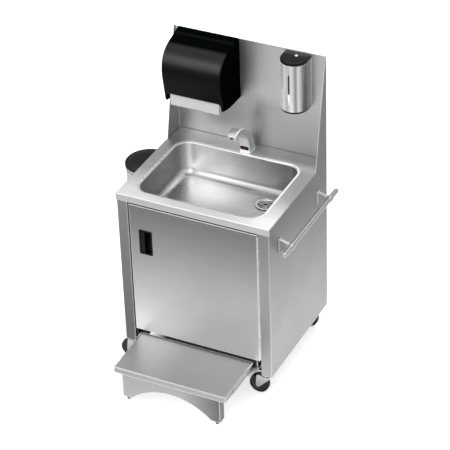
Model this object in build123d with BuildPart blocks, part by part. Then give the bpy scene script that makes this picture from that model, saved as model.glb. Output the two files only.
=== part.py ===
"""Portable stainless handwash sink on casters, with a pull-out step, dispensers and a waste bin.

Millimetres, +Z up, front towards -Y. Every piece is drawn with x = 0 and y = 0 at the middle of
the cabinet and z = 0 on the floor; write_piece() then moves it to the model's own origin, which is
the bottom centre of the whole object's box.
"""

import os
from build123d import *

# ---- driving dimensions -------------------------------------------------------------------
WIDTH = 686.0                 # cabinet, side to side
DEPTH = 570.0                 # cabinet, door face to rear panel
DECK_TOP = 852.0              # worktop height
SPLASH_TOP = 1343.0           # top edge of the backsplash
SKIRT = 110.5                 # lower edge of the side panels
SHEET = 1.5                   # cabinet sheet
THIN = 1.2                    # bowl and backsplash sheet
BEND = 3.0                    # outside bend radius
GAP = 0.3                     # assembly gap between touching sheets
PLAY = 0.06                   # running clearance of a pin or shaft in its bore, on the radius

HALF_W = WIDTH / 2
HALF_D = DEPTH / 2
JAMB_X = 295.0                # inner edge of the front jambs
JAMB_RETURN = 23.0            # depth of the jamb's inward return
WING_FOOT = 171.0             # front end of the splash wings at the deck

RIM = 32.0                    # height of the deck's front rim
OVERHANG = 3.0                # deck beyond the side panels
HEM = 6.0                     # height of the deck's side hems
BOWL_X, BOWL_Y = -5.0, -25.0  # centre of the bowl
BOWL_W, BOWL_D = 560.0, 420.0
BOWL_R = 60.0                 # plan corner radius of the bowl
COLLAR = 14.0                 # depth of the deck's turned-down collar
BOWL_FLOOR = 702.0
DRAIN_X, DRAIN_Y = 155.0, 82.0
DRAIN_R = 33.0

DOOR_HALF = 289.5
DOOR_LOW, DOOR_HIGH = 180.0, 810.0
DOOR_FOLD = 18.0
HINGE_X, HINGE_Y = 292.25, -285.6
PULL_X, PULL_Z = -218.0, 637.0

TREAD_HALF = 258.0
TREAD_TOP = 168.0
TREAD_FRONT, TREAD_BACK = -548.0, -287.0
TREAD_LIP = 27.0
APRON_HALF = 226.0
APRON_LOW = 21.0
ARCH_R = 266.0
ARCH_TOP = 95.0
RAIL_Z = 154.0                # middle of the step's slide rails
RAIL_FRONT = -345.0

CASTER_X, CASTER_Y = 305.0, 252.0
WHEEL_R = 43.5
WHEEL_W = 30.0
TRAIL = 34.0                  # swivel axis to axle
PLATE_TOP = 110.2

FAUCET_X = 6.0
SHANK_Y, SHANK_R = 225.0, 10.0
WALL = 281.5                  # front face of the backsplash
TOWEL_X = -185.0
TOWEL_HALF = 141.0            # half width at the wall
TOWEL_DRAFT = 0.035           # narrowing of each side per mm of depth
TOWEL_SKIN = 2.5
TOWEL_PIVOT = (274.0, 1066.0)
ROLL_X0, ROLL_X1 = -297.0, -69.0
ROLL_R = 75.0
ROLL_Y, ROLL_Z = 195.0, 1229.0
FEED_Y, FEED_Z, FEED_R = 150.0, 1122.0, 11.0

SOAP_X, SOAP_Y = 219.0, 246.0
SOAP_R = 57.0
SOAP_LOW, SOAP_HIGH = 1103.3, 1317.0
SOAP_PIVOT = (274.0, 1330.0)

HANDLE_X, HANDLE_Z = 398.0, 728.0
HANDLE_Y0, HANDLE_Y1 = -263.0, 261.0
HANDLE_R = 11.0
BRACKET_Y = 190.0

BIN_X, BIN_Y = -454.0, 199.0
BIN_R = 100.0
BIN_LOW, BIN_HIGH = 385.0, 687.0
LID_R = 105.0

PAN_Z = 175.5                 # underside of the cabinet floor

# The model's origin is the bottom centre of the object's box.
BOX_X0, BOX_X1 = BIN_X - LID_R, HANDLE_X + HANDLE_R + 3.0
BOX_Y0, BOX_Y1 = TREAD_FRONT, BIN_Y + LID_R
ORIGIN = Location((-(BOX_X0 + BOX_X1) / 2, -(BOX_Y0 + BOX_Y1) / 2, 0))

LOW_CORNER = (Align.MIN, Align.MIN, Align.MIN)
os.makedirs("parts", exist_ok=True)


# ---- helpers ------------------------------------------------------------------------------
def write_piece(piece, name):
    """Move a finished piece to the model's origin, label it and write it."""
    placed = piece.part.moved(ORIGIN)
    placed.label = name
    export_step(placed, f"parts/{name}.step")


def slab(x, y, z, mode=Mode.ADD):
    """Rectangular block between three pairs of limits."""
    with Locations((x[0], y[0], z[0])):
        Box(x[1] - x[0], y[1] - y[0], z[1] - z[0], align=LOW_CORNER, mode=mode)


def rod(center, direction, radius, length, mode=Mode.ADD):
    """Round bar centred on a point and lying along a direction."""
    with Locations(Plane(center, z_dir=direction)):
        Cylinder(radius, length, mode=mode)


def folded_section(points, thickness, side, bend=BEND):
    """Section of a folded sheet: an outline with rounded bends, thickened to one side."""
    with BuildLine() as outline:
        FilletPolyline(*points, radius=bend)
        offset(amount=thickness, side=side)
    make_face(outline.edges())


def polygon(points):
    """Flat face inside a closed outline."""
    with BuildLine() as outline:
        Polyline(*points, close=True)
    make_face(outline.edges())


def tube(points, leaving, arriving, radius):
    """Round hose swept through points, with its vertical direction given at both ends."""
    with BuildLine() as path:
        Spline(*points, tangents=[(0, 0, leaving), (0, 0, arriving)])
    with BuildSketch(Plane(path.line @ 0, z_dir=path.line % 0)) as section:
        Circle(radius)
    sweep(section.sketch, path=path.line)


def d_outline(radius, back=WALL - GAP, mode=Mode.ADD):
    """Plan of the soap dispenser: a half round in front, with straight sides to the back."""
    with BuildLine() as outline:
        front = ThreePointArc(
            (SOAP_X - radius, SOAP_Y), (SOAP_X, SOAP_Y - radius), (SOAP_X + radius, SOAP_Y)
        )
        Polyline(front @ 1, (SOAP_X + radius, back), (SOAP_X - radius, back), front @ 0)
    make_face(outline.edges(), mode=mode)


# ---- cabinet shell ------------------------------------------------------------------------
SIDE_TOP = DECK_TOP - HEM - GAP
SPLASH_LOW = DECK_TOP - 50

with BuildPart() as side_panel_right:
    with BuildSketch(Plane.XY.offset(SKIRT)):
        folded_section(
            [
                (HALF_W, HALF_D),
                (HALF_W, -HALF_D),
                (JAMB_X, -HALF_D),
                (JAMB_X, -HALF_D + JAMB_RETURN),
            ],
            SHEET,
            Side.RIGHT,
        )
    extrude(amount=SIDE_TOP - SKIRT)
    with BuildSketch(Plane.YZ.offset(HALF_W - SHEET)):
        polygon(
            [
                (HALF_D, SIDE_TOP - 10),
                (WING_FOOT, SIDE_TOP - 10),
                (WING_FOOT, DECK_TOP),
                (HALF_D - 9, SPLASH_TOP),
                (HALF_D, SPLASH_TOP),
            ]
        )
    extrude(amount=SHEET)
write_piece(side_panel_right, "side_panel_right")

with BuildPart() as side_panel_left:
    mirror(side_panel_right.part, about=Plane.YZ)
write_piece(side_panel_left, "side_panel_left")

with BuildPart() as rear_panel:
    edge = HALF_W - SHEET - GAP
    with BuildSketch(Plane.XY.offset(SKIRT)):
        folded_section(
            [
                (-edge, HALF_D - 22),
                (-edge, HALF_D),
                (edge, HALF_D),
                (edge, HALF_D - 22),
            ],
            SHEET,
            Side.RIGHT,
        )
    extrude(amount=SPLASH_LOW - 1 - SKIRT)
write_piece(rear_panel, "rear_panel")

with BuildPart() as backsplash:
    edge = HALF_W - SHEET - GAP
    with BuildSketch(Plane.YZ.offset(-edge)):
        folded_section(
            [
                (WALL, SPLASH_LOW),
                (WALL, SPLASH_TOP),
                (HALF_D, SPLASH_TOP),
                (HALF_D, SPLASH_TOP - 14),
            ],
            THIN,
            Side.RIGHT,
            bend=1.6,
        )
    extrude(amount=2 * edge)
write_piece(backsplash, "backsplash")

with BuildPart() as header_rail:
    with BuildSketch(Plane.YZ.offset(-JAMB_X + 1)):
        folded_section(
            [
                (-HALF_D + 1.5, DECK_TOP - SHEET - GAP),
                (-HALF_D + 24, DECK_TOP - SHEET - GAP),
                (-HALF_D + 24, DOOR_HIGH + 3),
            ],
            SHEET,
            Side.RIGHT,
        )
    extrude(amount=2 * (JAMB_X - 1))
write_piece(header_rail, "header_rail")

with BuildPart() as floor_pan:
    edge = HALF_W - 2 * SHEET - 2 * GAP - 0.5
    pan_back = WALL - 0.8
    slab((-edge, edge), (-HALF_D + 24, pan_back), (PAN_Z, PAN_Z + 12))
    fillet(floor_pan.edges().filter_by(Axis.Z), 4)
    offset(amount=-SHEET, openings=floor_pan.faces().sort_by(Axis.Z)[-1:])
write_piece(floor_pan, "floor_pan")

SILL_IN = 266.0
with BuildPart() as base_sills:
    outer = HALF_W - 2 * SHEET - 2 * GAP - 0.5
    with BuildSketch(Plane.XZ.offset(HALF_D - 24)):
        folded_section(
            [
                (SILL_IN, PAN_Z - 1),
                (SILL_IN, PLATE_TOP + GAP),
                (outer, PLATE_TOP + GAP),
                (outer, PAN_Z - 1),
            ],
            SHEET,
            Side.LEFT,
        )
    extrude(amount=-(HALF_D - 24 + WALL - 1))
    mirror(about=Plane.YZ)
write_piece(base_sills, "base_sills")

# ---- deck and bowl ------------------------------------------------------------------------
with BuildPart() as deck:
    brim = HALF_W + OVERHANG
    lug = HALF_W - SHEET - GAP
    with BuildSketch(Plane.XY.offset(DECK_TOP - RIM)):
        polygon(
            [
                (-brim, -HALF_D - 4),
                (brim, -HALF_D - 4),
                (brim, WING_FOOT - 1),
                (lug, WING_FOOT - 1),
                (lug, WALL - GAP),
                (-lug, WALL - GAP),
                (-lug, WING_FOOT - 1),
                (-brim, WING_FOOT - 1),
            ]
        )
    extrude(amount=RIM)
    front_corners = deck.edges().filter_by(Axis.Z).group_by(Axis.Y)[0]
    fillet(front_corners, 4)
    top_face = deck.faces().sort_by(Axis.Z)[-1]
    fillet(top_face.edges().group_by(Axis.Y)[0], 4)
    offset(amount=-SHEET, openings=deck.faces().sort_by(Axis.Z)[:1])
    below = (DECK_TOP - RIM - 1, DECK_TOP - HEM)
    slab((-brim - 1, brim + 1), (-HALF_D + 1, WALL + 1), below, mode=Mode.SUBTRACT)
    with BuildSketch(Plane.XY.offset(DECK_TOP - COLLAR)):
        with Locations((BOWL_X, BOWL_Y)):
            RectangleRounded(BOWL_W + 2 * SHEET, BOWL_D + 2 * SHEET, BOWL_R + SHEET)
    extrude(amount=COLLAR)
    with BuildSketch(Plane.XY.offset(DECK_TOP - COLLAR)):
        with Locations((BOWL_X, BOWL_Y)):
            RectangleRounded(BOWL_W, BOWL_D, BOWL_R)
    extrude(amount=COLLAR, mode=Mode.SUBTRACT)
    rod((FAUCET_X, SHANK_Y, DECK_TOP), (0, 0, 1), SHANK_R + 2, 20, mode=Mode.SUBTRACT)
write_piece(deck, "deck")

BOWL_TOP = DECK_TOP - COLLAR - GAP


def bowl_form(grow):
    """Solid in the shape of the bowl: drafted walls and a large radius round the floor."""
    with BuildSketch(Plane.XY.offset(BOWL_TOP)) as mouth:
        with Locations((BOWL_X, BOWL_Y)):
            RectangleRounded(BOWL_W + 2 * grow, BOWL_D + 2 * grow, BOWL_R + grow)
    extrude(mouth.sketch, amount=-(BOWL_TOP - BOWL_FLOOR + grow), taper=4)
    fillet(faces().sort_by(Axis.Z)[0].edges(), 36 + grow)


with BuildPart() as bowl_hollow:
    bowl_form(0)

with BuildPart() as basin:
    bowl_form(THIN)
    with BuildSketch(Plane.XY.offset(BOWL_TOP)):
        with Locations((BOWL_X, BOWL_Y)):
            RectangleRounded(BOWL_W + 36, BOWL_D + 36, BOWL_R + 18)
    extrude(amount=-THIN)
    add(bowl_hollow.part, mode=Mode.SUBTRACT)
    rod((DRAIN_X, DRAIN_Y, BOWL_FLOOR), (0, 0, 1), DRAIN_R, 8, mode=Mode.SUBTRACT)
write_piece(basin, "basin")

with BuildPart() as drain_strainer:
    cup_low = BOWL_FLOOR - 16
    rod((DRAIN_X, DRAIN_Y, BOWL_FLOOR + 1), (0, 0, 1), 44, 1.4)
    rod((DRAIN_X, DRAIN_Y, (BOWL_FLOOR + cup_low) / 2 + 0.8), (0, 0, 1), DRAIN_R - 1, 17.6)
    rod((DRAIN_X, DRAIN_Y, BOWL_FLOOR + 1), (0, 0, 1), DRAIN_R - 3, 14, mode=Mode.SUBTRACT)
    rod((DRAIN_X, DRAIN_Y, cup_low + 3), (0, 0, 1), DRAIN_R - 3, 6, mode=Mode.SUBTRACT)
    with Locations((DRAIN_X, DRAIN_Y, BOWL_FLOOR)):
        Hole(3)
        for ring, count in ((10, 6), (20, 12)):
            with PolarLocations(ring, count):
                Hole(3)
write_piece(drain_strainer, "drain_strainer")

with BuildPart() as drain_tailpiece:
    neck_top = BOWL_FLOOR - 16 - GAP
    rod((DRAIN_X, DRAIN_Y, neck_top - 4), (0, 0, 1), 36, 8)
    rod((DRAIN_X, DRAIN_Y, neck_top - 40), (0, 0, 1), 19, 80)
    rod((DRAIN_X, DRAIN_Y, neck_top - 40), (0, 0, 1), 16.5, 90, mode=Mode.SUBTRACT)
write_piece(drain_tailpiece, "drain_tailpiece")

# ---- tanks and plumbing -------------------------------------------------------------------
TANK_LOW = PAN_Z + SHEET + 1
TANK_HIGH = 530.0


def jerrycan(x0, x1, neck):
    """Rounded plastic tank, open only at the neck."""
    y0, y1 = -160.0, 120.0
    slab((x0, x1), (y0, y1), (TANK_LOW, TANK_HIGH))
    fillet(edges(), 22)
    rod((*neck, TANK_HIGH + 6), (0, 0, 1), 28, 12)
    slab((x0 + 4, x1 - 4), (y0 + 4, y1 - 4), (TANK_LOW + 4, TANK_HIGH - 4), mode=Mode.SUBTRACT)
    rod((*neck, TANK_HIGH + 6), (0, 0, 1), 23, 30, mode=Mode.SUBTRACT)


with BuildPart() as fresh_tank:
    jerrycan(-288.0, -20.0, (-150.0, 40.0))
write_piece(fresh_tank, "fresh_tank")

with BuildPart() as waste_tank:
    jerrycan(20.0, 288.0, (150.0, 40.0))
write_piece(waste_tank, "waste_tank")

with BuildPart() as waste_hose:
    hose_top = BOWL_FLOOR - 16 - GAP - 80 - 1
    hose_points = [
        (DRAIN_X, DRAIN_Y, hose_top),
        (DRAIN_X - 3, DRAIN_Y - 22, (hose_top + TANK_HIGH) / 2 - 2),
        (150, 40, TANK_HIGH - 10),
    ]
    tube(hose_points, -1, -1, 16)
write_piece(waste_hose, "waste_hose")

with BuildPart() as pump:
    slab((-45, 65), (165, 235), (TANK_LOW, TANK_LOW + 5))
    slab((-45, 5), (172, 228), (TANK_LOW + 5, TANK_LOW + 62))
    rod((35, 200, TANK_LOW + 34), (1, 0, 0), 26, 62)
    rod((-20, 200, TANK_LOW + 66), (0, 0, 1), 8, 10)
    rod((35, 200, TANK_LOW + 64), (0, 0, 1), 8, 12)
write_piece(pump, "pump")

HEATER_X, HEATER_Y, HEATER_TOP = -205.0, 204.0, 430.0
with BuildPart() as water_heater:
    rod((HEATER_X, HEATER_Y, (TANK_LOW + HEATER_TOP) / 2), (0, 0, 1), 66, HEATER_TOP - TANK_LOW)
    fillet(water_heater.edges().filter_by(GeomType.CIRCLE), 14)
    for port_x in (HEATER_X - 25, HEATER_X + 25):
        rod((port_x, HEATER_Y, HEATER_TOP + 5), (0, 0, 1), 8, 12)
write_piece(water_heater, "water_heater")

SUPPLY_RUNS = {
    "tank to pump": (
        [
            (-150, 40, TANK_HIGH - 60),
            (-125, 90, TANK_HIGH + 40),
            (-60, 175, TANK_HIGH - 60),
            (-20, 200, TANK_LOW + 72),
        ],
        -1,
    ),
    "pump to heater": (
        [
            (35, 200, TANK_LOW + 71),
            (20, 225, HEATER_TOP + 20),
            (-130, 225, HEATER_TOP + 50),
            (HEATER_X + 25, HEATER_Y, HEATER_TOP + 12),
        ],
        -1,
    ),
    "heater to faucet": (
        [
            (HEATER_X - 25, HEATER_Y, HEATER_TOP + 12),
            (HEATER_X + 10, 235, HEATER_TOP + 150),
            (-40, 240, 700),
            (FAUCET_X, SHANK_Y, 788),
        ],
        1,
    ),
}
with BuildPart() as supply_tubes:
    for run, arriving in SUPPLY_RUNS.values():
        tube(run, 1, arriving, 6)
write_piece(supply_tubes, "supply_tubes")

# ---- faucet -------------------------------------------------------------------------------
SPOUT_HALF = 25.0              # half width of the column
TIP_HALF = 20.5               # half width at the spout's tip
SPOUT_EDGE = 5.0
TIP_Y = 86.0
OUTLET_Y, OUTLET_Z = 84.2, 132.0
OUTLET_R = 7.0

with BuildPart() as faucet_body:
    with BuildSketch(Plane.YZ.offset(FAUCET_X)) as spout_side:
        with BuildLine():
            back = Spline(
                (253, 0), (250, 26), (241, 50), (225, 80), (205, 105), (184, 127),
                (160, 144), (138, 152), (116, 154), (98, 149), (TIP_Y, 141),
            )
            tip = Line(back @ 1, (TIP_Y + 3, 124))
            front = Spline(
                tip @ 1, (102, 131), (114, 135), (127, 130), (139, 121), (152, 111),
                (167, 99), (180, 82), (191, 58), (198, 33), (201, 0),
            )
            Line(front @ 1, back @ 0)
        make_face()
    extrude(spout_side.sketch, amount=SPOUT_HALF, both=True)
    with BuildSketch(Plane.XY.offset(-1)) as spout_plan:
        polygon(
            [
                (FAUCET_X - SPOUT_HALF, 260),
                (FAUCET_X + SPOUT_HALF, 260),
                (FAUCET_X + SPOUT_HALF, 200),
                (FAUCET_X + TIP_HALF, TIP_Y - 2),
                (FAUCET_X - TIP_HALF, TIP_Y - 2),
                (FAUCET_X - SPOUT_HALF, 200),
            ]
        )
    extrude(spout_plan.sketch, amount=200, mode=Mode.INTERSECT)
    fillet(faucet_body.edges().filter_by(Axis.X, reverse=True), SPOUT_EDGE)
    rod((FAUCET_X, SHANK_Y, -30), (0, 0, 1), SHANK_R, 60)
faucet_body.part.position = (0, 0, DECK_TOP + GAP)
write_piece(faucet_body, "faucet_body")

with BuildPart() as faucet_aerator:
    outlet = (FAUCET_X, OUTLET_Y, DECK_TOP + OUTLET_Z)
    rod(outlet, (0, 1, 0), OUTLET_R, 3)
    rod((FAUCET_X, OUTLET_Y - 1.5, DECK_TOP + OUTLET_Z), (0, 1, 0), OUTLET_R - 1.5, 3,
        mode=Mode.SUBTRACT)
write_piece(faucet_aerator, "faucet_aerator")

with BuildPart() as faucet_lens:
    slab((FAUCET_X - 20, FAUCET_X + 20), (195.5, 197.9), (DECK_TOP + 13, DECK_TOP + 30))
    fillet(faucet_lens.edges().filter_by(Axis.Y), 7)
write_piece(faucet_lens, "faucet_lens")

# ---- door, hinge and pull -----------------------------------------------------------------
with BuildPart() as door_panel:
    slab((-DOOR_HALF, DOOR_HALF), (-HALF_D, -HALF_D + DOOR_FOLD), (DOOR_LOW, DOOR_HIGH))
    fillet(door_panel.faces().sort_by(Axis.Y)[0].edges(), 2)
    offset(amount=-SHEET, openings=door_panel.faces().sort_by(Axis.Y)[-1:])
    with BuildSketch(Plane.XZ.offset(HALF_D)):
        with Locations((PULL_X, PULL_Z)):
            RectangleRounded(54, 113, 4)
    extrude(amount=-6, mode=Mode.SUBTRACT)
write_piece(door_panel, "door_panel")

KNUCKLES = 10
HINGE_LOW, HINGE_HIGH = DOOR_LOW + 10, DOOR_HIGH - 10
HINGE_PIN_R, KNUCKLE_R = 1.0, 2.3
PITCH = (HINGE_HIGH - HINGE_LOW) / KNUCKLES


def hinge_leaf(plate_x, first):
    """One leaf of the continuous hinge with every second knuckle, bored for the pin."""
    slab(plate_x, (HINGE_Y + 2.7, HINGE_Y + 17), (HINGE_LOW, HINGE_HIGH))
    for step in range(first, KNUCKLES, 2):
        low = HINGE_LOW + step * PITCH + 0.3
        high = low + PITCH - 0.6
        slab(plate_x, (HINGE_Y, HINGE_Y + 2.8), (low, high))
        rod((HINGE_X, HINGE_Y, (low + high) / 2), (0, 0, 1), KNUCKLE_R, high - low)
    rod((HINGE_X, HINGE_Y, (HINGE_LOW + HINGE_HIGH) / 2), (0, 0, 1), HINGE_PIN_R + PLAY, 700, Mode.SUBTRACT)


with BuildPart() as hinge_leaf_door:
    hinge_leaf((DOOR_HALF + 0.1, DOOR_HALF + 1.1), 0)
write_piece(hinge_leaf_door, "hinge_leaf_door")

with BuildPart() as hinge_leaf_jamb:
    hinge_leaf((JAMB_X - 1.1, JAMB_X - 0.1), 1)
    rod((HINGE_X, HINGE_Y, (HINGE_LOW + HINGE_HIGH) / 2), (0, 0, 1), HINGE_PIN_R, HINGE_HIGH - HINGE_LOW)
write_piece(hinge_leaf_jamb, "hinge_leaf_jamb")

PULL_FACE = -HALF_D - 2.0
PULL_PIVOT = (PULL_X - 20.5, PULL_FACE + 3.5)
with BuildPart() as pull_housing:
    with BuildSketch(Plane.XZ.offset(-PULL_FACE)):
        with Locations((PULL_X, PULL_Z)):
            RectangleRounded(60, 119, 5)
    extrude(amount=-1.8)
    with BuildSketch(Plane.XZ.offset(-PULL_FACE - 1)):
        with Locations((PULL_X, PULL_Z)):
            RectangleRounded(53, 112, 3.5)
    extrude(amount=-25)
    with BuildSketch(Plane.XZ.offset(-PULL_FACE)):
        with Locations((PULL_X, PULL_Z)):
            RectangleRounded(49, 106, 2.5)
    extrude(amount=-24, mode=Mode.SUBTRACT)
    rod((*PULL_PIVOT, PULL_Z), (0, 0, 1), 1.5, 108)
write_piece(pull_housing, "pull_housing")

with BuildPart() as pull_paddle:
    slab((PULL_X - 22.5, PULL_X - 4), (PULL_FACE, PULL_FACE + 4), (PULL_Z - 50, PULL_Z + 50))
    fillet(pull_paddle.edges().filter_by(Axis.Z), 1.5)
    rod((*PULL_PIVOT, PULL_Z), (0, 0, 1), 2.8, 100)
    rod((*PULL_PIVOT, PULL_Z), (0, 0, 1), 1.5 + PLAY, 120, mode=Mode.SUBTRACT)
write_piece(pull_paddle, "pull_paddle")

with BuildPart() as strike_plate:
    back = -HALF_D + DOOR_FOLD
    slab((-DOOR_HALF + 2, -DOOR_HALF + 26), (-HALF_D + 2, back), (470, 510))
write_piece(strike_plate, "strike_plate")

with BuildPart() as magnetic_catch:
    slab((-JAMB_X + 2, -JAMB_X + 24), (-HALF_D + DOOR_FOLD + 0.5, -HALF_D + 33), (472, 508))
    slab((-HALF_W + 2, -JAMB_X + 3), (-HALF_D + 25, -HALF_D + 33), (472, 508))
write_piece(magnetic_catch, "magnetic_catch")

# ---- pull-out step ------------------------------------------------------------------------
with BuildPart() as step_tread:
    slab((-TREAD_HALF, TREAD_HALF), (TREAD_FRONT, TREAD_BACK), (TREAD_TOP - TREAD_LIP, TREAD_TOP))
    fillet(step_tread.edges().filter_by(Axis.Z).group_by(Axis.Y)[0], 3)
    fillet(step_tread.faces().sort_by(Axis.Z)[-1].edges().group_by(Axis.Y)[0], 3)
    offset(amount=-SHEET, openings=step_tread.faces().sort_by(Axis.Z)[:1])
write_piece(step_tread, "step_tread")

APRON_FRONT = TREAD_FRONT + 8.0
with BuildPart() as step_apron:
    apron_top = TREAD_TOP - SHEET - GAP
    with BuildSketch(Plane.XY.offset(APRON_LOW)):
        folded_section(
            [
                (-APRON_HALF, APRON_FRONT + 40),
                (-APRON_HALF, APRON_FRONT),
                (APRON_HALF, APRON_FRONT),
                (APRON_HALF, APRON_FRONT + 40),
            ],
            SHEET,
            Side.LEFT,
            bend=2.5,
        )
    extrude(amount=apron_top - APRON_LOW)
    rod((0, APRON_FRONT, ARCH_TOP - ARCH_R), (0, 1, 0), ARCH_R, 8, mode=Mode.SUBTRACT)
write_piece(step_apron, "step_apron")

ROLLER_X, ROLLER_Y, ROLLER_R = APRON_HALF - 20.0, APRON_FRONT + 16.0, 7.0


def roller_bracket(x):
    """Small clevis that hangs one roller from the foot of the apron, with its pin."""
    for side in (-1, 1):
        cheek = sorted((x + side * 6, x + side * 7.5))
        slab(cheek, (ROLLER_Y - 6, ROLLER_Y + 6), (ROLLER_R - 3, APRON_LOW + 16))
    slab((x - 7.5, x + 7.5), (ROLLER_Y - 6, ROLLER_Y + 6), (APRON_LOW + 14, APRON_LOW + 16))
    slab((x - 7.5, x + 7.5), (APRON_FRONT + 2, ROLLER_Y), (APRON_LOW + 2, APRON_LOW + 16))
    rod((x, ROLLER_Y, ROLLER_R), (1, 0, 0), 2, 15)


with BuildPart() as step_roller_brackets:
    for bracket_x in (-ROLLER_X, ROLLER_X):
        roller_bracket(bracket_x)
write_piece(step_roller_brackets, "step_roller_brackets")


def step_roller(x):
    """Small rubber-faced roller under one foot of the step."""
    with BuildPart() as roller:
        rod((x, ROLLER_Y, ROLLER_R), (1, 0, 0), ROLLER_R, 10)
        chamfer(roller.edges().filter_by(GeomType.CIRCLE), 1)
        rod((x, ROLLER_Y, ROLLER_R), (1, 0, 0), 2 + PLAY, 20, mode=Mode.SUBTRACT)
    return roller


write_piece(step_roller(-ROLLER_X), "step_roller_left")
write_piece(step_roller(ROLLER_X), "step_roller_right")


def channel_pair(web_x, lip_x, half_height, y):
    """A slide rail of C section on each side of the step."""
    slab(web_x, y, (RAIL_Z - half_height, RAIL_Z + half_height))
    for low in (RAIL_Z - half_height, RAIL_Z + half_height - 1.4):
        slab((lip_x, web_x[1]), y, (low, low + 1.4))
    mirror(about=Plane.YZ)


with BuildPart() as slide_outer_rails:
    channel_pair((264.4, 265.8), 261.4, 18, (-258, 92))
write_piece(slide_outer_rails, "slide_outer_rails")

with BuildPart() as slide_middle_rails:
    channel_pair((262.4, 263.9), 259.4, 16, (RAIL_FRONT, RAIL_FRONT + 300))
write_piece(slide_middle_rails, "slide_middle_rails")

with BuildPart() as slide_inner_rails:
    slab((258.3, 261.8), (-480, -240), (RAIL_Z - 10, RAIL_Z + 10))
    mirror(about=Plane.YZ)
write_piece(slide_inner_rails, "slide_inner_rails")

# ---- casters ------------------------------------------------------------------------------
PLATE = 4.0
RACE_LOW = 96.0
with BuildPart() as caster_plates:
    for caster_x in (-CASTER_X, CASTER_X):
        for caster_y in (-CASTER_Y, CASTER_Y):
            inward = -1 if caster_x > 0 else 1
            middle_x = caster_x + 2 * inward
            middle_y = caster_y * 0.9
            slab(
                (middle_x - 35, middle_x + 35),
                (middle_y - 34, middle_y + 34),
                (PLATE_TOP - PLATE, PLATE_TOP),
            )
            race = PLATE_TOP - RACE_LOW - 0.4
            rod((caster_x, caster_y, PLATE_TOP - race / 2), (0, 0, 1), 23, race)
            rod((caster_x, caster_y, PLATE_TOP - 10), (0, 0, 1), 5, 18)
write_piece(caster_plates, "caster_plates")


def caster_fork(x, y):
    """Pressed swivel fork, with the axle bolt as its own solid; it trails towards -X."""
    with BuildPart() as fork:
        half = WHEEL_W / 2 + 2
        axle_x = x - TRAIL
        with Locations((x, y, RACE_LOW - 2)):
            Cylinder(26, 3.4)
        slab((axle_x - 4, x), (y - half - 2.5, y + half + 2.5), (RACE_LOW - 3.7, RACE_LOW - 0.3))
        with BuildSketch(Plane.XZ.offset(-y + half)) as cheek:
            polygon(
                [
                    (axle_x - 10, WHEEL_R - 8),
                    (axle_x + 10, WHEEL_R - 8),
                    (x + 18, RACE_LOW - 2),
                    (axle_x - 4, RACE_LOW - 2),
                ]
            )
        extrude(amount=2.5)
        with BuildSketch(Plane.XZ.offset(-y - half)):
            add(cheek.sketch_local)
        extrude(amount=-2.5)
        rod((x, y, RACE_LOW - 3), (0, 0, 1), 5 + PLAY, 12, mode=Mode.SUBTRACT)
        rod((axle_x, y, WHEEL_R), (0, 1, 0), 4 + PLAY, 60, mode=Mode.SUBTRACT)
        rod((axle_x, y, WHEEL_R), (0, 1, 0), 4, WHEEL_W + 15)
        for side in (-1, 1):
            rod((axle_x, y + side * (half + 5.5), WHEEL_R), (0, 1, 0), 7, 4)
    return fork


def caster_wheel(x, y):
    """Rubber tyre and plastic hub of one caster."""
    with BuildPart() as wheel:
        axle_x = x - TRAIL
        rod((axle_x, y, WHEEL_R), (0, 1, 0), WHEEL_R, WHEEL_W)
        fillet(wheel.edges().filter_by(GeomType.CIRCLE), 5)
        rod((axle_x, y, WHEEL_R), (0, 1, 0), 30, WHEEL_W + 4, mode=Mode.SUBTRACT)
        rod((axle_x, y, WHEEL_R), (0, 1, 0), 29.9, WHEEL_W - 8)
        rod((axle_x, y, WHEEL_R), (0, 1, 0), 12, WHEEL_W)
        rod((axle_x, y, WHEEL_R), (0, 1, 0), 4 + PLAY, WHEEL_W + 4, mode=Mode.SUBTRACT)
    return wheel


CASTERS = {
    "front_left": (-CASTER_X, -CASTER_Y),
    "front_right": (CASTER_X, -CASTER_Y),
    "rear_left": (-CASTER_X, CASTER_Y),
    "rear_right": (CASTER_X, CASTER_Y),
}
for place, (caster_x, caster_y) in CASTERS.items():
    write_piece(caster_fork(caster_x, caster_y), f"caster_fork_{place}")
    write_piece(caster_wheel(caster_x, caster_y), f"caster_wheel_{place}")

# ---- towel dispenser ----------------------------------------------------------------------
COVER_BACK = WALL - 2.0
LIP_Z = 1111.0


def towel_prism(inset):
    """The dispenser's outer body: a bulged side profile, narrowed towards the front."""
    with BuildSketch(Plane.YZ.offset(TOWEL_X)) as side_view:
        with BuildLine():
            crown = Spline(
                (COVER_BACK, 1343 - inset),
                (225, 1329 - inset),
                (170 + 0.5 * inset, 1319 - inset),
                (121 + inset, 1286 - 0.5 * inset),
                (104 + inset, 1233),
                (110 + inset, 1167),
                (126 + inset, 1075),
            )
            Polyline(crown @ 1, (146 + inset, 1066), (200, 1058), (COVER_BACK, 1062), crown @ 0)
        make_face()
    extrude(side_view.sketch, amount=TOWEL_HALF + 5, both=True)
    reach = COVER_BACK - 90
    near = TOWEL_HALF - inset
    far = near - TOWEL_DRAFT * reach
    with BuildSketch(Plane.XY.offset(1050)) as plan:
        polygon(
            [
                (TOWEL_X - near, COVER_BACK),
                (TOWEL_X + near, COVER_BACK),
                (TOWEL_X + far, 90),
                (TOWEL_X - far, 90),
            ]
        )
    extrude(plan.sketch, amount=300, mode=Mode.INTERSECT)


with BuildPart() as cover_hollow:
    towel_prism(TOWEL_SKIN)

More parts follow.
